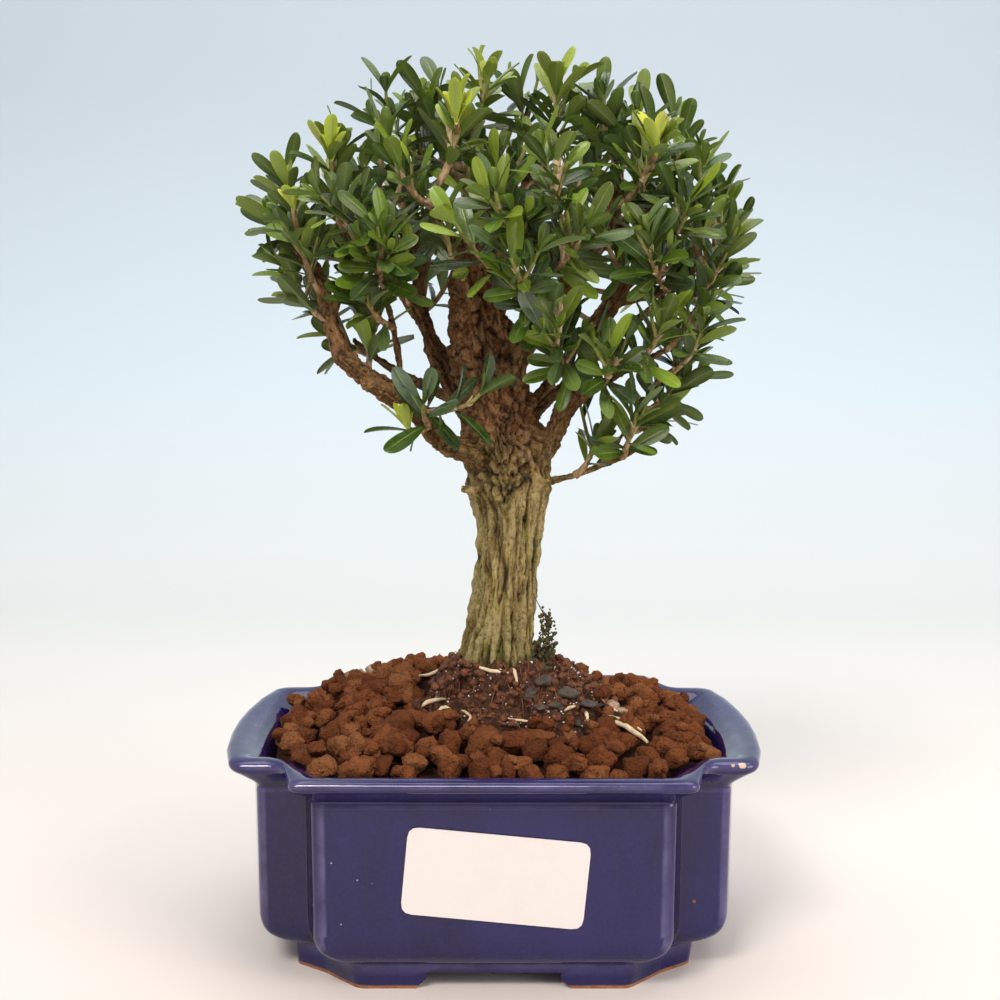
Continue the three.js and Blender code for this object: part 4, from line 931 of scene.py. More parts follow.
def litter(tree, materials):
    """Crumbs, perlite, fibres, stones and a few granules on the mound."""
    kinds = [
        ("mound_crumbs", "peat_crumbs", 1500, (0.35, 1.5), 2, "peat"),
        ("perlite", "perlite", 520, (0.2, 0.56), 1, "peat"),
        ("mound_granules", "granules", 40, (1.5, 2.9), 3, "granules"),
    ]
    for name, key, count, (low, high), level, slot in kinds:
        shape = Shape()
        for i in range(count):
            seed = i + 1000 * level + len(name) * 37
            angle, out = 2 * math.pi * chance(seed, 1, 121), math.sqrt(chance(seed, 2, 121))
            if name == "mound_granules":
                out = between(0.84, 1.02, out)
            x, y = 6 + 31 * out * math.cos(angle), 0.5 + 24 * out * math.sin(angle)
            hit = on_mound(tree, x, y)
            if hit is None or math.hypot(x - 1.5, y - 0.8) < 10.5 or hit.z < 61:
                continue
            radius = between(low, high, chance(seed, 3, 121) ** 2.4)
            points, faces = crumb(hit + Vector((0, 0, radius * 0.35)), radius, seed, level, 0.8, 11, 0.12)
            shape.add(points, faces, tone=(chance(seed, 4, 121), 0, 0))
        shape.build(name, materials[key], slot, 75)
    stones = Shape()
    for i, (x, y, radius) in enumerate(STONES):
        hit = on_mound(tree, x, y)
        stones.add(*crumb(hit + Vector((0, 0, 0.5)), radius, 3000 + i, 3, 0.5, 8, 0.06))
    stones.build("dark_stones", materials["stone"], "peat", 50)
    chips = Shape()
    for i, (x, y, radius) in enumerate(TAN_CHIPS):
        hit = on_mound(tree, x, y)
        ground = max(hit.z if hit else 0, soil_height(x, y) + GRANULES_ABOVE)
        chips.add(*crumb((x, y, ground), radius, 3100 + i, 3, 0.6, 9, 0.14))
    chips.build("tan_chips", materials["chip"], "granules", 60)
    peat_fibres(tree, materials["fibre"])


def peat_fibres(tree, material):
    """Fine rusty fibres that curl out of the peat."""
    shape = Shape()
    for i in range(340):
        angle, out = 2 * math.pi * chance(i, 1, 125), math.sqrt(chance(i, 2, 125))
        start = on_mound(tree, 5 + 27 * out * math.cos(angle), 0.5 + 21 * out * math.sin(angle))
        turn, reach = 6.28 * chance(i, 3, 125), between(1.5, 5, chance(i, 4, 125))
        if start is None or start.z < 63:
            continue
        end = on_mound(tree, start.x + reach * math.cos(turn), start.y + reach * math.sin(turn))
        if end is None or end.z < 61:
            continue
        top = (np.array(start) + np.array(end)) / 2 + UP * between(0.6, 2, chance(i, 5, 125))
        shape.add(*tube([np.array(start) - UP * 0.3, top, np.array(end)], [0.13, 0.11, 0.06], 4))
    shape.build("peat_fibres", material, "peat", 75)


def moss_tuft(material):
    """Dark crumbs clinging to a thread of moss beside the trunk."""
    shape = Shape()
    spine = [(13.6, -5.6, 81), (15, -5.4, 85), (16.2, -4.4, 89.6), (15.2, -3.6, 94), (12.6, -3.2, 99),
             (10.6, -4.4, 103)]
    shape.add(*tube(spine, [0.45, 0.4, 0.3, 0.2, 0.14, 0.12], 5))
    for i in range(170):
        share = chance(i, 1, 131) * 0.64
        centre = np.array([np.interp(share * 5, range(6), [p[k] for p in spine]) for k in range(3)])
        spread = 3.3 * (1 - 0.6 * share)
        spot = centre + [between(-spread, spread, chance(i, k, 132)) for k in range(3)]
        radius = between(0.3, 1.0 - 0.5 * share, chance(i, 2, 131) ** 2)
        shape.add(*crumb(spot, radius, 4000 + i, 1 if radius < 0.55 else 2))
        if i % 3 == 0:
            shape.add(*tube([centre, (centre + spot) / 2 + UP * 0.5, spot], [0.16, 0.14, 0.1], 4))
    shape.build("moss_tuft", material, "peat", 75)


def pale_roots(tree, material):
    """Short pale roots that lie over the mound, by their spots on it and their radius."""
    shape = Shape()
    for seed, (spots, radius) in enumerate(PALE_ROOTS):
        knots = []
        for x, y in spots:
            hit = on_mound(tree, x, y)
            ground = max(hit.z if hit else 0, soil_height(x, y) + 2.5)
            knots.append(np.array((x, y, ground + radius * 0.5)))
        middle = knots[1] if len(knots) == 3 else (knots[0] + knots[1]) / 2 + UP * radius
        bend = 2 * middle - (knots[0] + knots[-1]) / 2
        shares = np.linspace(0, 1, 15)
        places = [(1 - s) ** 2 * knots[0] + 2 * s * (1 - s) * bend + s * s * knots[-1] for s in shares]
        places = [p + 0.35 * np.array([noise.noise(Vector((s * 4, seed, k * 7))) for k in range(3)])
                  for p, s in zip(places, shares)]
        radii = [radius * (0.35 + 0.65 * math.sin(math.pi * between(0.12, 0.94, s))) for s in shares]
        shape.add(*tube(places, radii, 8))
    shape.build("pale_roots", material, "peat", 60)


# The tree

def wood_segments():
    """Every piece of trunk and limb: start, end, radius at each, length before it, limb number."""
    rows = []
    routes = [([radius for _, _, _, radius in TRUNK_RINGS], [(x, y, z) for z, x, y, _ in TRUNK_RINGS])]
    for start, end, *points in LIMBS:
        count = len(points) - 1
        routes.append(([between(start, end, i / count) for i in range(count + 1)], points))
    for number, (radii, points) in enumerate(routes):
        before = 0.0
        for i in range(len(points) - 1):
            a, b = np.array(points[i], float), np.array(points[i + 1], float)
            rows.append((a, b, radii[i], radii[i + 1], before, number))
            before += np.linalg.norm(b - a)
    return rows


def nearest_wood(points):
    """For each point: its offset from the nearest axis, how far along it lies, the radius and the limb.

    The trunk, number 0, is measured level by level, so that its relief runs on through its rings.
    """
    best = np.full(len(points), 1e9)
    offset = np.zeros_like(points)
    along, radius, number = (np.zeros(len(points)) for _ in range(3))
    for a, b, ra, rb, before, which in wood_segments():
        span = b - a
        share = np.clip((points - a) @ span / (span @ span), 0, 1)
        away = points - (a + share[:, None] * span)
        r = ra + (rb - ra) * share
        gap = np.linalg.norm(away, axis=1) - r
        closer = gap < best
        best[closer], offset[closer] = gap[closer], away[closer]
        along[closer] = (before + share * np.linalg.norm(span))[closer]
        radius[closer], number[closer] = r[closer], which
    heights, middle_x, middle_y, radii = np.array(TRUNK_RINGS).T
    x, y, z = points.T
    level = np.column_stack([x - np.interp(z, heights, middle_x), y - np.interp(z, heights, middle_y), 0 * z])
    trunk = number == 0
    offset[trunk], along[trunk] = level[trunk], z[trunk]
    radius[trunk] = np.interp(z[trunk], heights, radii)
    return offset, along, radius, number


PLATE_WARPS = [Vector((5.1, 0, 2.7)), Vector((0, 8.3, 6.1)), Vector((3.9, 7.2, 0))]


def bark_relief(points):
    """The bark's relief in millimetres, and the values that its colours follow."""
    offset, along, radius, number = nearest_wood(points)
    x, y, z = points.T
    is_trunk = number == 0
    flap = BARK_FLAP_Z + 1.2 * np.abs(x - 3) + 0.8 * np.sin(x * 1.3)
    head = np.where(is_trunk, np.clip((z - flap) / 2.2, 0, 1), 1)
    lengthwise = np.where(is_trunk, 0.09 * along + 0.28 * np.clip(z - flap, 0, None), along * 0.28)
    around = offset / np.linalg.norm(offset, axis=1)[:, None] * np.where(is_trunk, 9.5, radius)[:, None]
    grain = around + np.outer(lengthwise + number * 7.3, (0.36, 0.48, 0.8))
    turn = np.array(Matrix.Rotation(0.9, 3, "X") @ Matrix.Rotation(0.6, 3, "Y"))
    flakes = (points * (1, 1, 0.66)) @ turn.T
    angle = np.arctan2(y, x - 3.5)
    clefts, relief, plates, seams, sway, ribs = (np.zeros(len(points)) for _ in range(6))
    for i, (p, flake) in enumerate(zip(grain, flakes)):
        v, f = Vector(p), Vector(flake)
        cleft = abs(noise.noise(v * 0.5 + Vector((9, 2, 4))))
        warp = Vector([noise.noise(f * 0.3 + shift) for shift in PLATE_WARPS])
        distances, middles = noise.voronoi(f * 0.42 + warp * 0.9)
        seam = max(0, 0.2 - distances[1] + distances[0]) / 0.2 * head[i]
        plates[i] = chance(round(middles[0].x, 3), round(middles[0].y, 3), round(middles[0].z, 3))
        clefts[i], seams[i] = cleft, seam
        sway[i] = noise.noise(Vector((points[i][0] * 0.09, points[i][1] * 0.09, z[i] * 0.045)))
        ribs[i] = min(1, 4 * abs(noise.noise(v * 0.34 + Vector((3, 1, 8)))))
        relief[i] = 0.9 * noise.noise(v * 0.22) - max(0, 0.18 - cleft) / 0.18
        relief[i] += 0.6 * (noise.turbulence(v * 0.9, 3, False) - 0.6) + 0.45 * noise.noise(f * 0.75)
        relief[i] += (1.35 * (plates[i] - 0.5) + 1.1 * noise.noise(f * 0.16)) * head[i] - 0.9 * seam
    phase = angle + 0.65 * sway + 0.16 * np.sin(2 * angle + 1)
    strands = 0.45 * np.abs(np.sin(7 * phase)) ** 0.7 + 0.55 * ribs
    lobes = np.abs(np.sin(3.5 * (angle + 0.4 * sway) + 0.4))
    size = np.clip(radius / 8, 0.2, 1.1)
    fluted = (1 - head) * ((strands - 0.62) * 1.9 + (lobes - 0.6) * 1.5)
    overhang = 1.7 * is_trunk * head * np.clip(1 - (z - flap - 3) / 14, 0, 1)
    shift = relief * size * 1.15 + fluted + overhang
    # The ridge value is low in the clefts, seams and grooves, where the bark's colour gets painted shade.
    ridge = np.minimum(clefts * 4.5, 1 - 0.9 * seams)
    ridge = np.minimum(between(np.clip(strands * 1.35, 0, 1), 1, head), ridge)
    region = np.where(is_trunk, np.clip((z - 130) / 22, 0, 1), np.clip((z - 118) / 40, 0.35, 0.9))
    return shift, grain, np.column_stack([region, np.clip(ridge, 0, 1), plates])


def smoothed(mesh, points, weight, rounds):
    """The points moved towards the mean of their neighbours, each as far as its weight says."""
    ends = np.zeros(len(mesh.edges) * 2, int)
    mesh.edges.foreach_get("vertices", ends)
    first, second = ends.reshape(-1, 2).T
    count = np.bincount(ends, minlength=len(points))[:, None]
    for _ in range(rounds):
        total = np.zeros_like(points)
        np.add.at(total, first, points[second])
        np.add.at(total, second, points[first])
        points = points + weight[:, None] * (total / count - points)
    return points


def tree(material):
    mesh = remeshed("bark", "tree", BARK_VOXEL, 4)
    points, _ = points_and_normals(mesh)
    _, _, radius, number = nearest_wood(points)
    weight = 0.6 * (number == 0) * np.clip(radius / 6 - 0.6, 0, 1)
    set_points(mesh, smoothed(mesh, points, weight, 40))
    points, normals = points_and_normals(mesh)
    shift, grain, bark = bark_relief(points)
    points += normals * shift[:, None]
    set_points(mesh, points)
    set_values(mesh, "grain", grain)
    set_values(mesh, "bark", bark)
    piece = placed(mesh, "trunk_and_limbs", material, "bark", 80)
    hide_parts("tree")


# Shoots, by the part's own rules

def limb_points():
    """Points along the limbs, with the radius and the share of the way: arrays at, radius, along."""
    at, radius, along = [], [], []
    for start, end, *points in LIMBS:
        points = np.array(points, float)
        lengths = np.concatenate([[0], np.cumsum(np.linalg.norm(np.diff(points, axis=0), axis=1))])
        steps = math.ceil(lengths[-1] / 4)
        share = np.arange(steps + 1) / steps
        at.append(np.column_stack([np.interp(share * lengths[-1], lengths, points[:, k]) for k in range(3)]))
        radius.append(between(start, end, share))
        along.append(share)
    return np.concatenate(at), np.concatenate(radius), np.concatenate(along)


def feet_for(tip, wood):
    at, _, along = wood
    outer = at[along > 0.3]
    distance = np.linalg.norm(outer - tip, axis=1)
    cost = distance + np.maximum(0, 17 - distance) * 3 + np.maximum(0, outer[:, 2] - tip[2] + 12) * 1.6
    feet = []
    for point in outer[np.argsort(cost, kind="stable")]:
        if all(np.linalg.norm(point - other) > 6 for other in feet):
            feet.append(point)
        if len(feet) == 5:
            break
    return feet


def shoot_tips():
    tips = [np.array(tip, float) for tip in SHOOT_TIPS]
    for i in range(RULED_TIPS):
        if len(tips) >= MOST_SPRAYS:
            break
        height = between(0.97, -0.4, (i + 0.5) / RULED_TIPS)
        around = math.sqrt(1 - height * height)
        share = INNER_SHARE if i % 2 else 1
        facing = np.array((around * math.cos(i * GOLDEN_ANGLE), around * math.sin(i * GOLDEN_ANGLE), height))
        tip = np.array(CROWN_MIDDLE) + np.array(CROWN_HALF) * share * facing
        bare_front = tip[1] < -5 and tip[2] < 192
        if not bare_front and all(np.linalg.norm(tip - other) > TIP_SPACING for other in tips):
            tips.append(tip)
    return tips


class Path:
    """A curved shoot from its foot to its tip, measured by length."""

    def __init__(self, foot, tip, seed):
        length = np.linalg.norm(tip - foot)
        sway = np.array((0.3 * (chance(seed, 1, 51) - 0.5), 0.3 * (chance(seed, 2, 51) - 0.5), -0.12))
        bend = foot + (tip - foot) * (0.66, 0.66, 0.34) + sway * length
        self.points = (foot, bend, tip)
        self.t = np.linspace(0, 1, 201)
        fine = np.array([self.curve(t) for t in self.t])
        self.lengths = np.concatenate([[0], np.cumsum(np.linalg.norm(np.diff(fine, axis=0), axis=1))])
        self.length = self.lengths[-1]

    def curve(self, t):
        a, b, c = self.points
        return (1 - t) ** 2 * a + 2 * t * (1 - t) * b + t * t * c

    def time(self, share):
        return np.interp(share * self.length, self.lengths, self.t)

    def at(self, share):
        return self.curve(self.time(share))

    def heading(self, share):
        a, b, c = self.points
        t = self.time(share)
        return unit(2 * (1 - t) * (b - a) + 2 * t * (c - b))


def is_free(samples, wood, shoots):
    for other in shoots:
        if np.linalg.norm(other["samples"][:, None] - samples[None], axis=2).min() <= STEM_APART:
            return False
    at, radius, _ = wood
    outer = samples[STEM_SAMPLES // 2:]
    return (np.linalg.norm(at[:, None] - outer[None], axis=2) > (radius + STEM_OFF_WOOD)[:, None]).all()


def free_shoot(tip, seed, wood, shoots):
    for foot in feet_for(tip, wood):
        for attempt in range(6):
            path = Path(foot, tip, seed + attempt * 0.37)
            samples = np.array([path.at(i / STEM_SAMPLES) for i in range(STEM_SAMPLES + 1)])
            if is_free(samples, wood, shoots):
                return dict(path=path, samples=samples, seed=seed)
    return None


def all_shoots():
    wood = limb_points()
    shoots = []
    for seed, tip in enumerate(shoot_tips()):
        shoot = free_shoot(tip, seed, wood, shoots)
        if shoot:
            shoots.append(shoot)
    return shoots


def leaf_directions(heading, turn, lean):
    """Which way a leaf points, and which way its upper face looks."""
    across = unit(np.cross(np.array((1.0, 0, 0)), heading))
    radial = turned(across, heading, turn)
    along = heading * math.cos(lean) + radial * math.sin(lean)
    normal = heading * math.sin(lean) - radial * math.cos(lean)
    return along, normal


def part_leaves(path, seed):
    """The places of the part's own leaves on a shoot: root, heading, turn, lean, size and pair."""
    first = chance(seed, 0, 61) * math.pi
    for pair in range(PAIRS):
        share = 1 - (0.8 + pair * PAIR_SPACING) / path.length
        if share < 0.2:
            return
        for half in range(2):
            turn = first + (pair / 2 + half) * math.pi + between(-0.25, 0.25, chance(seed, pair, 62 + half))
            lean = between(0.36, 0.88, min(1, pair / 2)) + 0.24 * (chance(seed, pair, 64 + half) - 0.5)
            size = between(0.82, 1.08, chance(seed, pair, 66 + half)) * (0.86 if pair == 0 else 1)
            yield path.at(share), path.heading(share), turn, lean, size, pair


def matched_leaf(surface, root, heading, turn, lean, size):
    """The directions that the part gave this leaf, read from its solid, or None where it was left out."""
    for nudge in (0, 0.35, -0.35, 0.7, -0.7, 1.05, -1.05):
        along, normal = leaf_directions(heading, turn + nudge, lean - abs(nudge) * 0.2)
        fits = True
        for share in (0.66, 1.0):
            spot = root + size * LEAF_LENGTH * (along * share - normal * LEAF_ARCH * share * share)
            _, _, _, gap = surface.find_nearest(Vector(spot * MM))
            fits = fits and gap is not None and gap < 0.35 * MM
        if fits:
            return along, normal
    return None




def leaf_faces():
    """The faces of a leaf: its upper side in seven columns, its lower side in two, its tip and its foot."""
    rows, columns = len(STATIONS), len(ACROSS)
    under = rows * columns
    tip = under + rows
    faces = []
    for r in range(rows - 1):
        left, right = r * columns, r * columns + columns - 1
        for c in range(left, right):
            faces.append((c, c + columns, c + columns + 1, c + 1))
        faces.append((left, under + r, under + r + 1, left + columns))
        faces.append((under + r, right, right + columns, under + r + 1))
    last = (rows - 1) * columns
    faces += [(last + c, tip, last + c + 1) for c in range(columns - 1)]
    faces += [(last, under + rows - 1, tip), (under + rows - 1, last + columns - 1, tip)]
    faces.append(tuple(range(columns)) + (under,))
    return faces


LEAF_FACES = leaf_faces()


def leaf_points(root, along, normal, length, width, arch, twist, cup):
    """The points of one leaf, and for each of them its share of the length, its share across and its side."""
    side = np.cross(along, normal)
    points, marks = [], []

    def centre(s):
        return root + along * length * s - normal * length * arch * s * s

    for lower in (False, True):
        for s, w in zip(STATIONS, WIDTHS):
            tilt = twist * s
            out = side * math.cos(tilt) + normal * math.sin(tilt)
            up = normal * math.cos(tilt) - side * math.sin(tilt)
            half = width * w / 2
            for t in ((0,) if lower else ACROSS):
                drop = cup * half * abs(t) ** 1.7
                if lower:
                    drop += 0.42 if s > 0.03 else 0.3
                elif t == 0:
                    drop += 0.1
                points.append(centre(s) + out * half * t - up * drop)
                marks.append((s, t, 1.0 if lower else 0.0))
    points.append(centre(0.995) - normal * 0.15)
    marks.append((1.0, 0.0, 0.0))
    return np.array(points), np.array(marks)


class Crown:
    """The leaves placed so far, so that a new one keeps off them, off the wood and inside the part's box."""

    def __init__(self):
        low, high = CAD_BOUNDS
        self.low, self.high = np.array(low) / MM + 0.2, np.array(high) / MM - 0.2
        self.spots = np.zeros((0, 3))
        self.wood, self.wood_radius, _ = limb_points()

    @staticmethod
    def spots_on(root, along, normal, length):
        return root + along * length * LEAF_CHECKS - normal * length * LEAF_ARCH * LEAF_CHECKS ** 2

    def is_clear(self, root, along, normal, length, gap):
        spots = self.spots_on(root, along, normal, length)
        if len(self.spots) and np.linalg.norm(self.spots[None] - spots[:, None], axis=2).min() < gap:
            return False
        to_wood = np.linalg.norm(self.wood[None] - spots[:, None], axis=2)
        if (to_wood < self.wood_radius + LEAF_OFF_WOOD).any():
            return False
        return (spots > self.low + 2).all() and (spots < self.high - 2).all()

    def take(self, root, along, normal, length):
        self.spots = np.concatenate([self.spots, self.spots_on(root, along, normal, length)])


def add_leaf(shape, crown, seed, root, along, normal, size, young, shade=1.0):
    # A shade below 1 darkens the leaf's tone as painted shade.
    length = LEAF_LENGTH * size
    crown.take(root, along, normal, length)
    width = LEAF_WIDTH * size ** 0.6 * between(0.88, 1.08, chance(seed, 1, 151))
    arch = LEAF_ARCH * between(0.7, 1.3, chance(seed, 2, 151))
    twist = between(-0.35, 0.35, chance(seed, 3, 151))
    cup = between(-0.4, 0.25, chance(seed, 4, 151))
    points, marks = leaf_points(root, along, normal, length, width, arch, twist, cup)
    points = np.clip(points, crown.low, crown.high)
    # The tone's third value sets how much painted grey-blue sheen the leaf gets.
    tone = (shade * chance(seed, 5, 151) ** 1.2, young, chance(seed, 6, 151))
    shape.add(points, LEAF_FACES, leaf=marks, tone=tone)


def add_stem(shape, points, radii, sides, start, end, woody=0.0):
    made, faces = tube(points, radii, sides)
    shares = np.repeat(np.linspace(start, end, len(points)), sides)
    marks = np.column_stack([shares, np.zeros(len(made)), np.full(len(made), woody)])
    shape.add(made, faces, leaf=marks, tone=(0.5, 0, 0))


def youth(seed, share, spread):
    """How young a leaf is: yellow-green on the young shoots, and a little at every shoot's tip."""
    young = YOUNG_SHOOTS.get(seed, 0.0) * max(0.0, min(1.0, 1.25 - 2.4 * share))
    return max(young, between(0.0, 0.3, spread) * max(0.0, 0.8 - share))


def young_tufts(crown, leaf_look, twig_look):
    """Narrow upright tufts of young leaves, the lowest on a twig of its own below the left limb."""
    leaves, twig = Shape(), Shape()
    for number, (start, foot, heading, size) in enumerate(YOUNG_TUFTS):
        start, foot, heading = np.array(start, float), np.array(foot, float), unit(np.array(heading, float))
        add_stem(twig, [start, (start + foot) / 2 - UP * 1.5, foot], [0.9, 0.8, 0.6], 7, 0, 0.5)
        for index in range(6):
            if size < 0.7 and index > 3:
                continue
            turn = 0.5 + number + index * math.pi / 2 + math.pi / 4 * (index > 3)
            lean = between(0.12, 0.42, chance(number, index, 165))
            along, normal = leaf_directions(heading, turn, lean)
            add_leaf(leaves, crown, 5000 + number * 10 + index, foot - heading * (index // 2), along, normal,
                     size * between(0.78, 1.05, chance(number, index, 166)), 0.95)
    # The two dark leaves get painted shade (0.3).
    for seed, (root, heading, normal, size) in enumerate(DARK_LEAVES):
        add_leaf(leaves, crown, 5100 + seed, np.array(root, float), unit(np.array(heading, float)),
                 unit(np.array(normal, float)), size, 0.0, 0.3)
    leaves.build("young_tufts", leaf_look, "foliage", 50)
    twig.build("tuft_twig", twig_look, "foliage", 60)


def tip_leaves(shape, crown, tip, heading, seed, young):
    """The two small leaves that are still folded over the bud."""
    turn = chance(seed, 0, 161) * math.pi
    for half in range(2):
        along, normal = leaf_directions(heading, turn + half * math.pi, 0.22)
        size = between(0.28, 0.5, chance(seed, half, 162))
        add_leaf(shape, crown, seed * 7 + half, tip, along, normal, size, young)


def side_twigs(leaves, stems, crown, shoot):
    """Short side shoots with their own pairs of leaves."""
    path, seed = shoot["path"], shoot["seed"]
    count = 3 if path.length > 24 else 2
    for i in range(count):
        share = between(0.38, 0.82, (i + 0.5) / count) + between(-0.05, 0.05, chance(seed, i, 171))
        foot, heading = path.at(share), path.heading(share)
        turn = chance(seed, i, 172) * math.pi + i * 2.3
        along, _ = leaf_directions(heading, turn, between(0.6, 1.0, chance(seed, i, 173)))
        along = unit(along + UP * 0.6)
        length = between(7, 12, chance(seed, i, 174))
        middle, end = foot + along * length * 0.5, foot + along * length + UP * length * 0.12
        if (end < crown.low + 5).any() or (end > crown.high - 5).any():
            continue
        add_stem(stems, [foot, middle, end], [0.6, 0.55, 0.45], 6, share, 1)
        heading = unit(end - middle)
        own = seed * 31 + i * 5 + 3
        pair_leaves(leaves, crown, foot, end, heading, own, seed, length)


def pair_leaves(leaves, crown, foot, end, heading, own, seed, length):
    first = chance(own, 0, 175) * math.pi
    tip_leaves(leaves, crown, end, heading, own, youth(seed, 0.1, chance(own, 3, 175)))
    for pair in range(3):
        share = 1 - pair * 3.3 / length
        if share < 0.12:
            break
        root = foot + (end - foot) * share
        for half in range(2):
            turn = first + (pair / 2 + half) * math.pi
            lean = between(0.5, 1.05, pair / 2) + between(-0.15, 0.15, chance(own, pair, 176 + half))
            along, normal = leaf_directions(heading, turn, lean)
            size = between(0.58, 0.92, chance(own, pair, 178 + half))
            if crown.is_clear(root, along, normal, LEAF_LENGTH * size, 2.2):
                add_leaf(leaves, crown, own * 13 + pair * 2 + half, root, along, normal, size,
                         youth(seed, pair / 3 + 0.2, chance(own, pair, 175)))


def inner_tips(tips):
    """Tips of more shoots, in the gaps between the part's own and inside the crown."""
    made = [np.array(tip, float) for tip in GAP_TIPS]
    for i in range(INNER_TRIES):
        height = between(0.95, -0.3, (i + 0.5) / INNER_TRIES)
        around = math.sqrt(1 - height * height)
        facing = np.array((around * math.cos(i * GOLDEN_ANGLE), around * math.sin(i * GOLDEN_ANGLE), height))
        share = between(0.45, 0.93, chance(i, 1, 201))
        tip = np.array(CROWN_MIDDLE) + np.array(CROWN_HALF) * share * facing
        open_front = tip[1] < 10 and tip[2] < 203
        if not open_front and all(np.linalg.norm(tip - other) > INNER_SPACING for other in tips + made):
            made.append(tip)
    return made


def inner_shoots(crown, shoots, leaf_look, twig_look):
    """Shoots that close the crown's gaps, with leaves wherever there is room for one."""
    wood, taken = limb_points(), list(shoots)
    leaves, twigs = Shape(), Shape()
    for number, tip in enumerate(inner_tips([shoot["path"].at(1) for shoot in shoots])):
        seed = 100 + number
        shoot = free_shoot(tip, seed, wood, taken)
        if shoot is None:
            continue
        taken.append(shoot)
        path = shoot["path"]
        shares = np.linspace(0, 1, 10)
        add_stem(twigs, [path.at(s) for s in shares], [between(1.0, 0.55, s) for s in shares], 6, 0, 1)
        for index, (root, heading, turn, lean, size, pair) in enumerate(part_leaves(path, seed)):
            along, normal = leaf_directions(heading, turn, lean)
            if crown.is_clear(root, along, normal, LEAF_LENGTH * size, 2.4):
                add_leaf(leaves, crown, seed * 11 + index, root, along, normal, size * 0.95,
                         youth(seed, pair / PAIRS, chance(seed, index, 191)))
        tip_leaves(leaves, crown, path.at(1), path.heading(1), seed, 0.2)
    leaves.build("inner_leaves", leaf_look, "foliage", 50)
    twigs.build("inner_twigs", twig_look, "foliage", 60)


def nodes_and_scales(twigs, shoot):
    """Dry bud scales in pairs along a stem, where leaves have dropped."""
    path, seed = shoot["path"], shoot["seed"]
    count = int(path.length / 4.4)
    for i in range(1, count):
        share = i / count
        foot, heading = path.at(share), path.heading(share)
        first = chance(seed, 0, 61) * math.pi + i * math.pi / 2
        for half in range(2):
            lean = between(0.3, 0.8, chance(seed, i, 195 + half))
            along, _ = leaf_directions(heading, first + half * math.pi, lean)
            reach = between(1.4, 3, chance(seed, i, 197 + half))
            add_stem(twigs, [foot, foot + along * reach * 0.5, foot + along * reach], [0.75, 0.5, 0.08], 5,
                     share, share, 1.0)


def dry_stub(twigs, foot, heading, seed, reach):
    """A cut stub that points up, with dry scales around its end."""
    along = unit(leaf_directions(heading, chance(seed, 2, 198) * 6.28, 0.5)[0] + UP * 0.6)
    end = foot + along * reach
    add_stem(twigs, [foot, (foot + end) / 2, end], [1.15, 1.0, 1.0], 8, 0, 0, 1.0)
    for k in range(8):
        scale, _ = leaf_directions(along, k * 2.4, between(0.15, 0.75, chance(seed, k, 199)))
        low = end - along * between(0, reach * 0.6, chance(seed, k, 200))
        add_stem(twigs, [low, low + scale * 1.8, low + scale * 3.4], [0.6, 0.55, 0.06], 5, 0, 0, 1.0)


def dry_stubs(twigs, shoots):
    """Cut stubs on the stems nearest to their listed spots, and on every fourth shoot."""
    for index, spot in enumerate(DRY_STUBS):
        number = int(np.argmin([np.linalg.norm(shoot["samples"] - spot, axis=1).min() for shoot in shoots]))
        path, samples = shoots[number]["path"], shoots[number]["samples"]
        share = int(np.argmin(np.linalg.norm(samples - spot, axis=1))) / STEM_SAMPLES
        dry_stub(twigs[number], path.at(share), path.heading(share), index + 40, 7)
    for number, shoot in enumerate(shoots):
        if shoot["seed"] % 4 == 3:
            share = between(0.45, 0.7, chance(shoot["seed"], 1, 198))
            dry_stub(twigs[number], shoot["path"].at(share), shoot["path"].heading(share), shoot["seed"], 5.5)


def between_leaves(leaves, crown, shoot):
    """Pairs of leaves halfway between the part's own."""
    path, seed = shoot["path"], shoot["seed"]
    first = chance(seed, 0, 61) * math.pi + math.pi / 4
    for pair in range(PAIRS):
        share = 1 - (0.8 + (pair + 0.5) * PAIR_SPACING) / path.length
        if share < 0.15:
            return
        for half in range(2):
            turn = first + (pair / 2 + half) * math.pi
            lean = between(0.6, 1.05, min(1, pair / 2)) + between(-0.15, 0.15, chance(seed, pair, 182 + half))
            size = between(0.55, 0.88, chance(seed, pair, 184 + half))
            root, heading = path.at(share), path.heading(share)
            for nudge in (0, 0.4, -0.4, 0.8):
                along, normal = leaf_directions(heading, turn + nudge, lean)
                if crown.is_clear(root, along, normal, LEAF_LENGTH * size, 2.3):
                    add_leaf(leaves, crown, seed * 17 + pair * 2 + half + 900, root, along, normal, size,
                             youth(seed, (pair + 0.5) / PAIRS, chance(seed, pair, 181)))
                    break


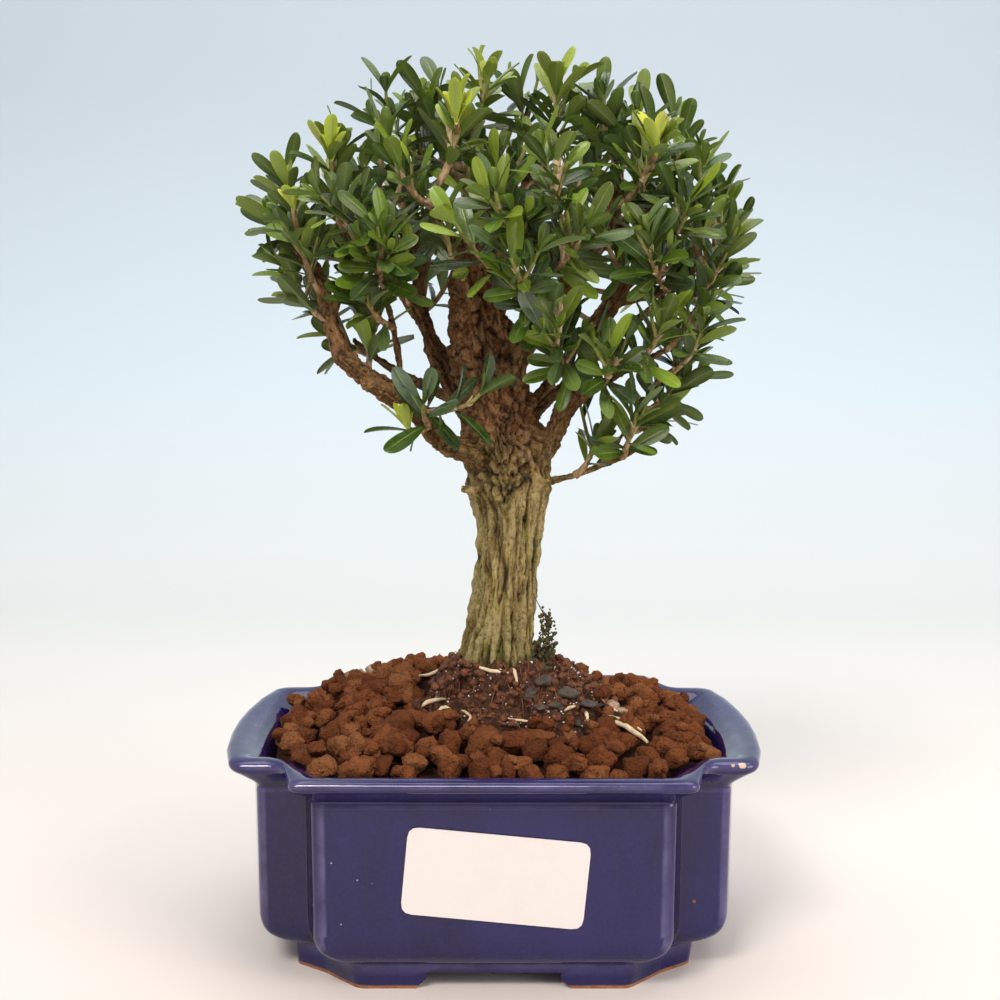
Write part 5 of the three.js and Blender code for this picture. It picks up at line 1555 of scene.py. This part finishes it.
def crown_pieces(leaf_look, twig_look):
    """One piece of leaves and twigs for each of the part's sprays."""
    crown = Crown()
    shoots = all_shoots()
    made = [Shape() for _ in shoots]
    twigs = [Shape() for _ in shoots]
    for number, shoot in enumerate(shoots):
        node = frame["nodes"][f"spray_{number + 1:02d}"]
        surface = BVHTree.FromPolygons([v.co for v in node.data.vertices],
                                       [tuple(p.vertices) for p in node.data.polygons])
        path, seed = shoot["path"], shoot["seed"]
        dark = seed in SPARSE_SHOOTS
        for index, (root, heading, turn, lean, size, pair) in enumerate(part_leaves(path, seed)):
            found = matched_leaf(surface, root, heading, turn, lean, size)
            if found:
                young = 0 if dark else youth(seed, pair / PAIRS, chance(seed, index, 191))
                # Painted shade: the sparse shoots' leaves, low in the crown, are darker.
                shade = 0.35 if dark else 1
                add_leaf(made[number], crown, seed * 11 + index, root, *found, size, young, shade)
    for number, shoot in enumerate(shoots):
        path, seed = shoot["path"], shoot["seed"]
        shares = np.linspace(0, 1, 13)
        radii = [between(1.15, 0.6, s) * between(0.8, 1.2, chance(seed, i, 192))
                 for i, s in enumerate(shares)]
        add_stem(twigs[number], [path.at(s) for s in shares], radii, 7, 0, 1)
        young = youth(seed, 0.1, chance(seed, 9, 191))
        tip_leaves(made[number], crown, path.at(1), path.heading(1), seed, young)
        if seed not in SPARSE_SHOOTS:
            side_twigs(made[number], twigs[number], crown, shoot)
        nodes_and_scales(twigs[number], shoot)
    young_tufts(crown, leaf_look, twig_look)
    for number, shoot in enumerate(shoots):
        if shoot["seed"] not in SPARSE_SHOOTS:
            between_leaves(made[number], crown, shoot)
    inner_shoots(crown, shoots, leaf_look, twig_look)
    dry_stubs(twigs, shoots)
    for number in range(len(shoots)):
        name = f"spray_{number + 1:02d}"
        leaves = made[number].build(f"{name}_leaves", leaf_look, "foliage", 50)
        twigs[number].build(f"{name}_twigs", twig_look, "foliage", 60)
        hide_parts(name)


# The stage, the lights and the camera

def sweep(material):
    """A pale floor that turns up into a backdrop far behind."""
    profile = [(-900, 0), (500, 0)]
    profile += [(500 + 420 * math.sin(angle), 420 - 420 * math.cos(angle))
                for angle in np.linspace(0.12, math.pi / 2, 12)]
    profile.append((920, 1700))
    points = [(x, y, z) for y, z in profile for x in (-1500, 1500)]
    faces = [(2 * i, 2 * i + 1, 2 * i + 3, 2 * i + 2) for i in range(len(profile) - 1)]
    mesh = bpy.data.meshes.new("backdrop")
    mesh.from_pydata((np.array(points, float) * MM).tolist(), [], faces)
    mesh.materials.append(material)
    shade_smooth(mesh)
    linked("backdrop", mesh)


def backdrop_material():
    n = Nodes("pale_backdrop")
    _, y, z = n.parts(n.place)
    soft = n.noise(n.place, 3, 2, 0.5)
    height = n.math("ADD", z, n.math("ADD", n.math("MULTIPLY", y, 0.2), n.math("MULTIPLY", soft, 0.02)))
    colour = n.ramp(height, (0.0, (0.7, 0.63, 0.59)), (0.1, (0.605, 0.615, 0.6)),
                    (0.31, (0.53, 0.605, 0.655)), (0.68, (0.445, 0.51, 0.57)))
    return n.finish(colour, 0.9, n.bump(soft, 0.02, 0.001), Specular_IOR_Level=0.1)


def area_light(name, place, target, size, power, colour):
    light = bpy.data.lights.new(name, "AREA")
    light.shape = "RECTANGLE"
    light.size, light.size_y = size
    light.energy = power
    light.color = colour
    piece = linked(name, light)
    piece.location = place
    piece.rotation_euler = (Vector(target) - Vector(place)).to_track_quat("-Z", "Y").to_euler()
    return piece


def lights():
    area_light("key", (-0.45, -0.95, 1.2), (0, 0, 0.12), (0.5, 0.4), 14.5, (1.0, 0.94, 0.88))
    area_light("fill", (1.1, -0.8, 0.7), (0, 0, 0.12), (0.8, 0.9), 12, (1.0, 0.95, 0.9))
    area_light("top", (0.1, 0.25, 1.4), (0, 0, 0.1), (1.2, 1.0), 9.5, (1.0, 0.98, 0.96))
    softbox = area_light("softbox", (-0.35, -1.0, 0.85), (0, 0, 0.06), (1.0, 0.4), 16, (1.0, 0.98, 0.96))
    softbox.visible_diffuse = False
    area_light("wash", (0, 0.1, 1.5), (0, 0.9, 0.3), (2.2, 0.8), 5.8, (0.98, 0.99, 1.0))
    world = bpy.data.worlds.new("studio")
    world.use_nodes = True
    sky = world.node_tree.nodes["Background"]
    sky.inputs["Color"].default_value = (0.95, 0.97, 1.0, 1)
    sky.inputs["Strength"].default_value = 0.48
    bpy.context.scene.world = world


def camera():
    """At the photograph's viewing angle. The focal length is 1345 pixels of a frame 1000 wide."""
    elevation, yaw, roll = math.radians(6.2), math.radians(-0.3), math.radians(0.16)
    distance = 0.395
    target = Vector((0.0016, -0.0043, 0.1292))
    level = math.cos(elevation)
    back = Vector((math.sin(yaw) * level, -math.cos(yaw) * level, math.sin(elevation)))
    lens = bpy.data.cameras.new("camera")
    lens.sensor_width = 36
    lens.lens = 1345 * lens.sensor_width / 1000
    lens.clip_start = 0.02
    piece = linked("camera", lens)
    piece.matrix_world = Matrix.Translation(target + back * distance) @ (
        back.to_track_quat("Z", "Y").to_matrix().to_4x4() @ Matrix.Rotation(roll, 4, "Z"))
    bpy.context.scene.camera = piece


def main():
    camera()
    lights()
    sweep(backdrop_material())
    granule_look = granule_material()
    pot(glaze_material())
    soil_bed(bed_material())
    granules(granule_look)
    mound_tree = mound(peat_material())
    litter(mound_tree, {
        "peat_crumbs": grit_material("peat_crumbs", (0.014, 0.005, 0.002), (0.25, 0.085, 0.036)),
        "perlite": grit_material("perlite", (0.7, 0.69, 0.66), (0.92, 0.91, 0.88)),
        "stone": grit_material("dark_stone", (0.03, 0.022, 0.018), (0.13, 0.095, 0.075), 420),
        "chip": grit_material("tan_chip", (0.16, 0.085, 0.045), (0.52, 0.36, 0.23), 520),
        "granules": granule_look,
        "fibre": grit_material("peat_fibre", (0.12, 0.04, 0.015), (0.36, 0.15, 0.06)),
    })
    moss_tuft(grit_material("dark_moss", (0.022, 0.02, 0.007), (0.13, 0.11, 0.04), 900))
    pale_roots(mound_tree, root_material())
    tree(bark_material())
    crown_pieces(leaf_material(), twig_material())
    net = net_material()
    for node, look in (("label", paper_material()), ("drain_screen_left", net), ("drain_screen_right", net)):
        frame["nodes"][node].material_slots[0].material = look
    bpy.context.scene.view_settings.view_transform = "Standard"


main()
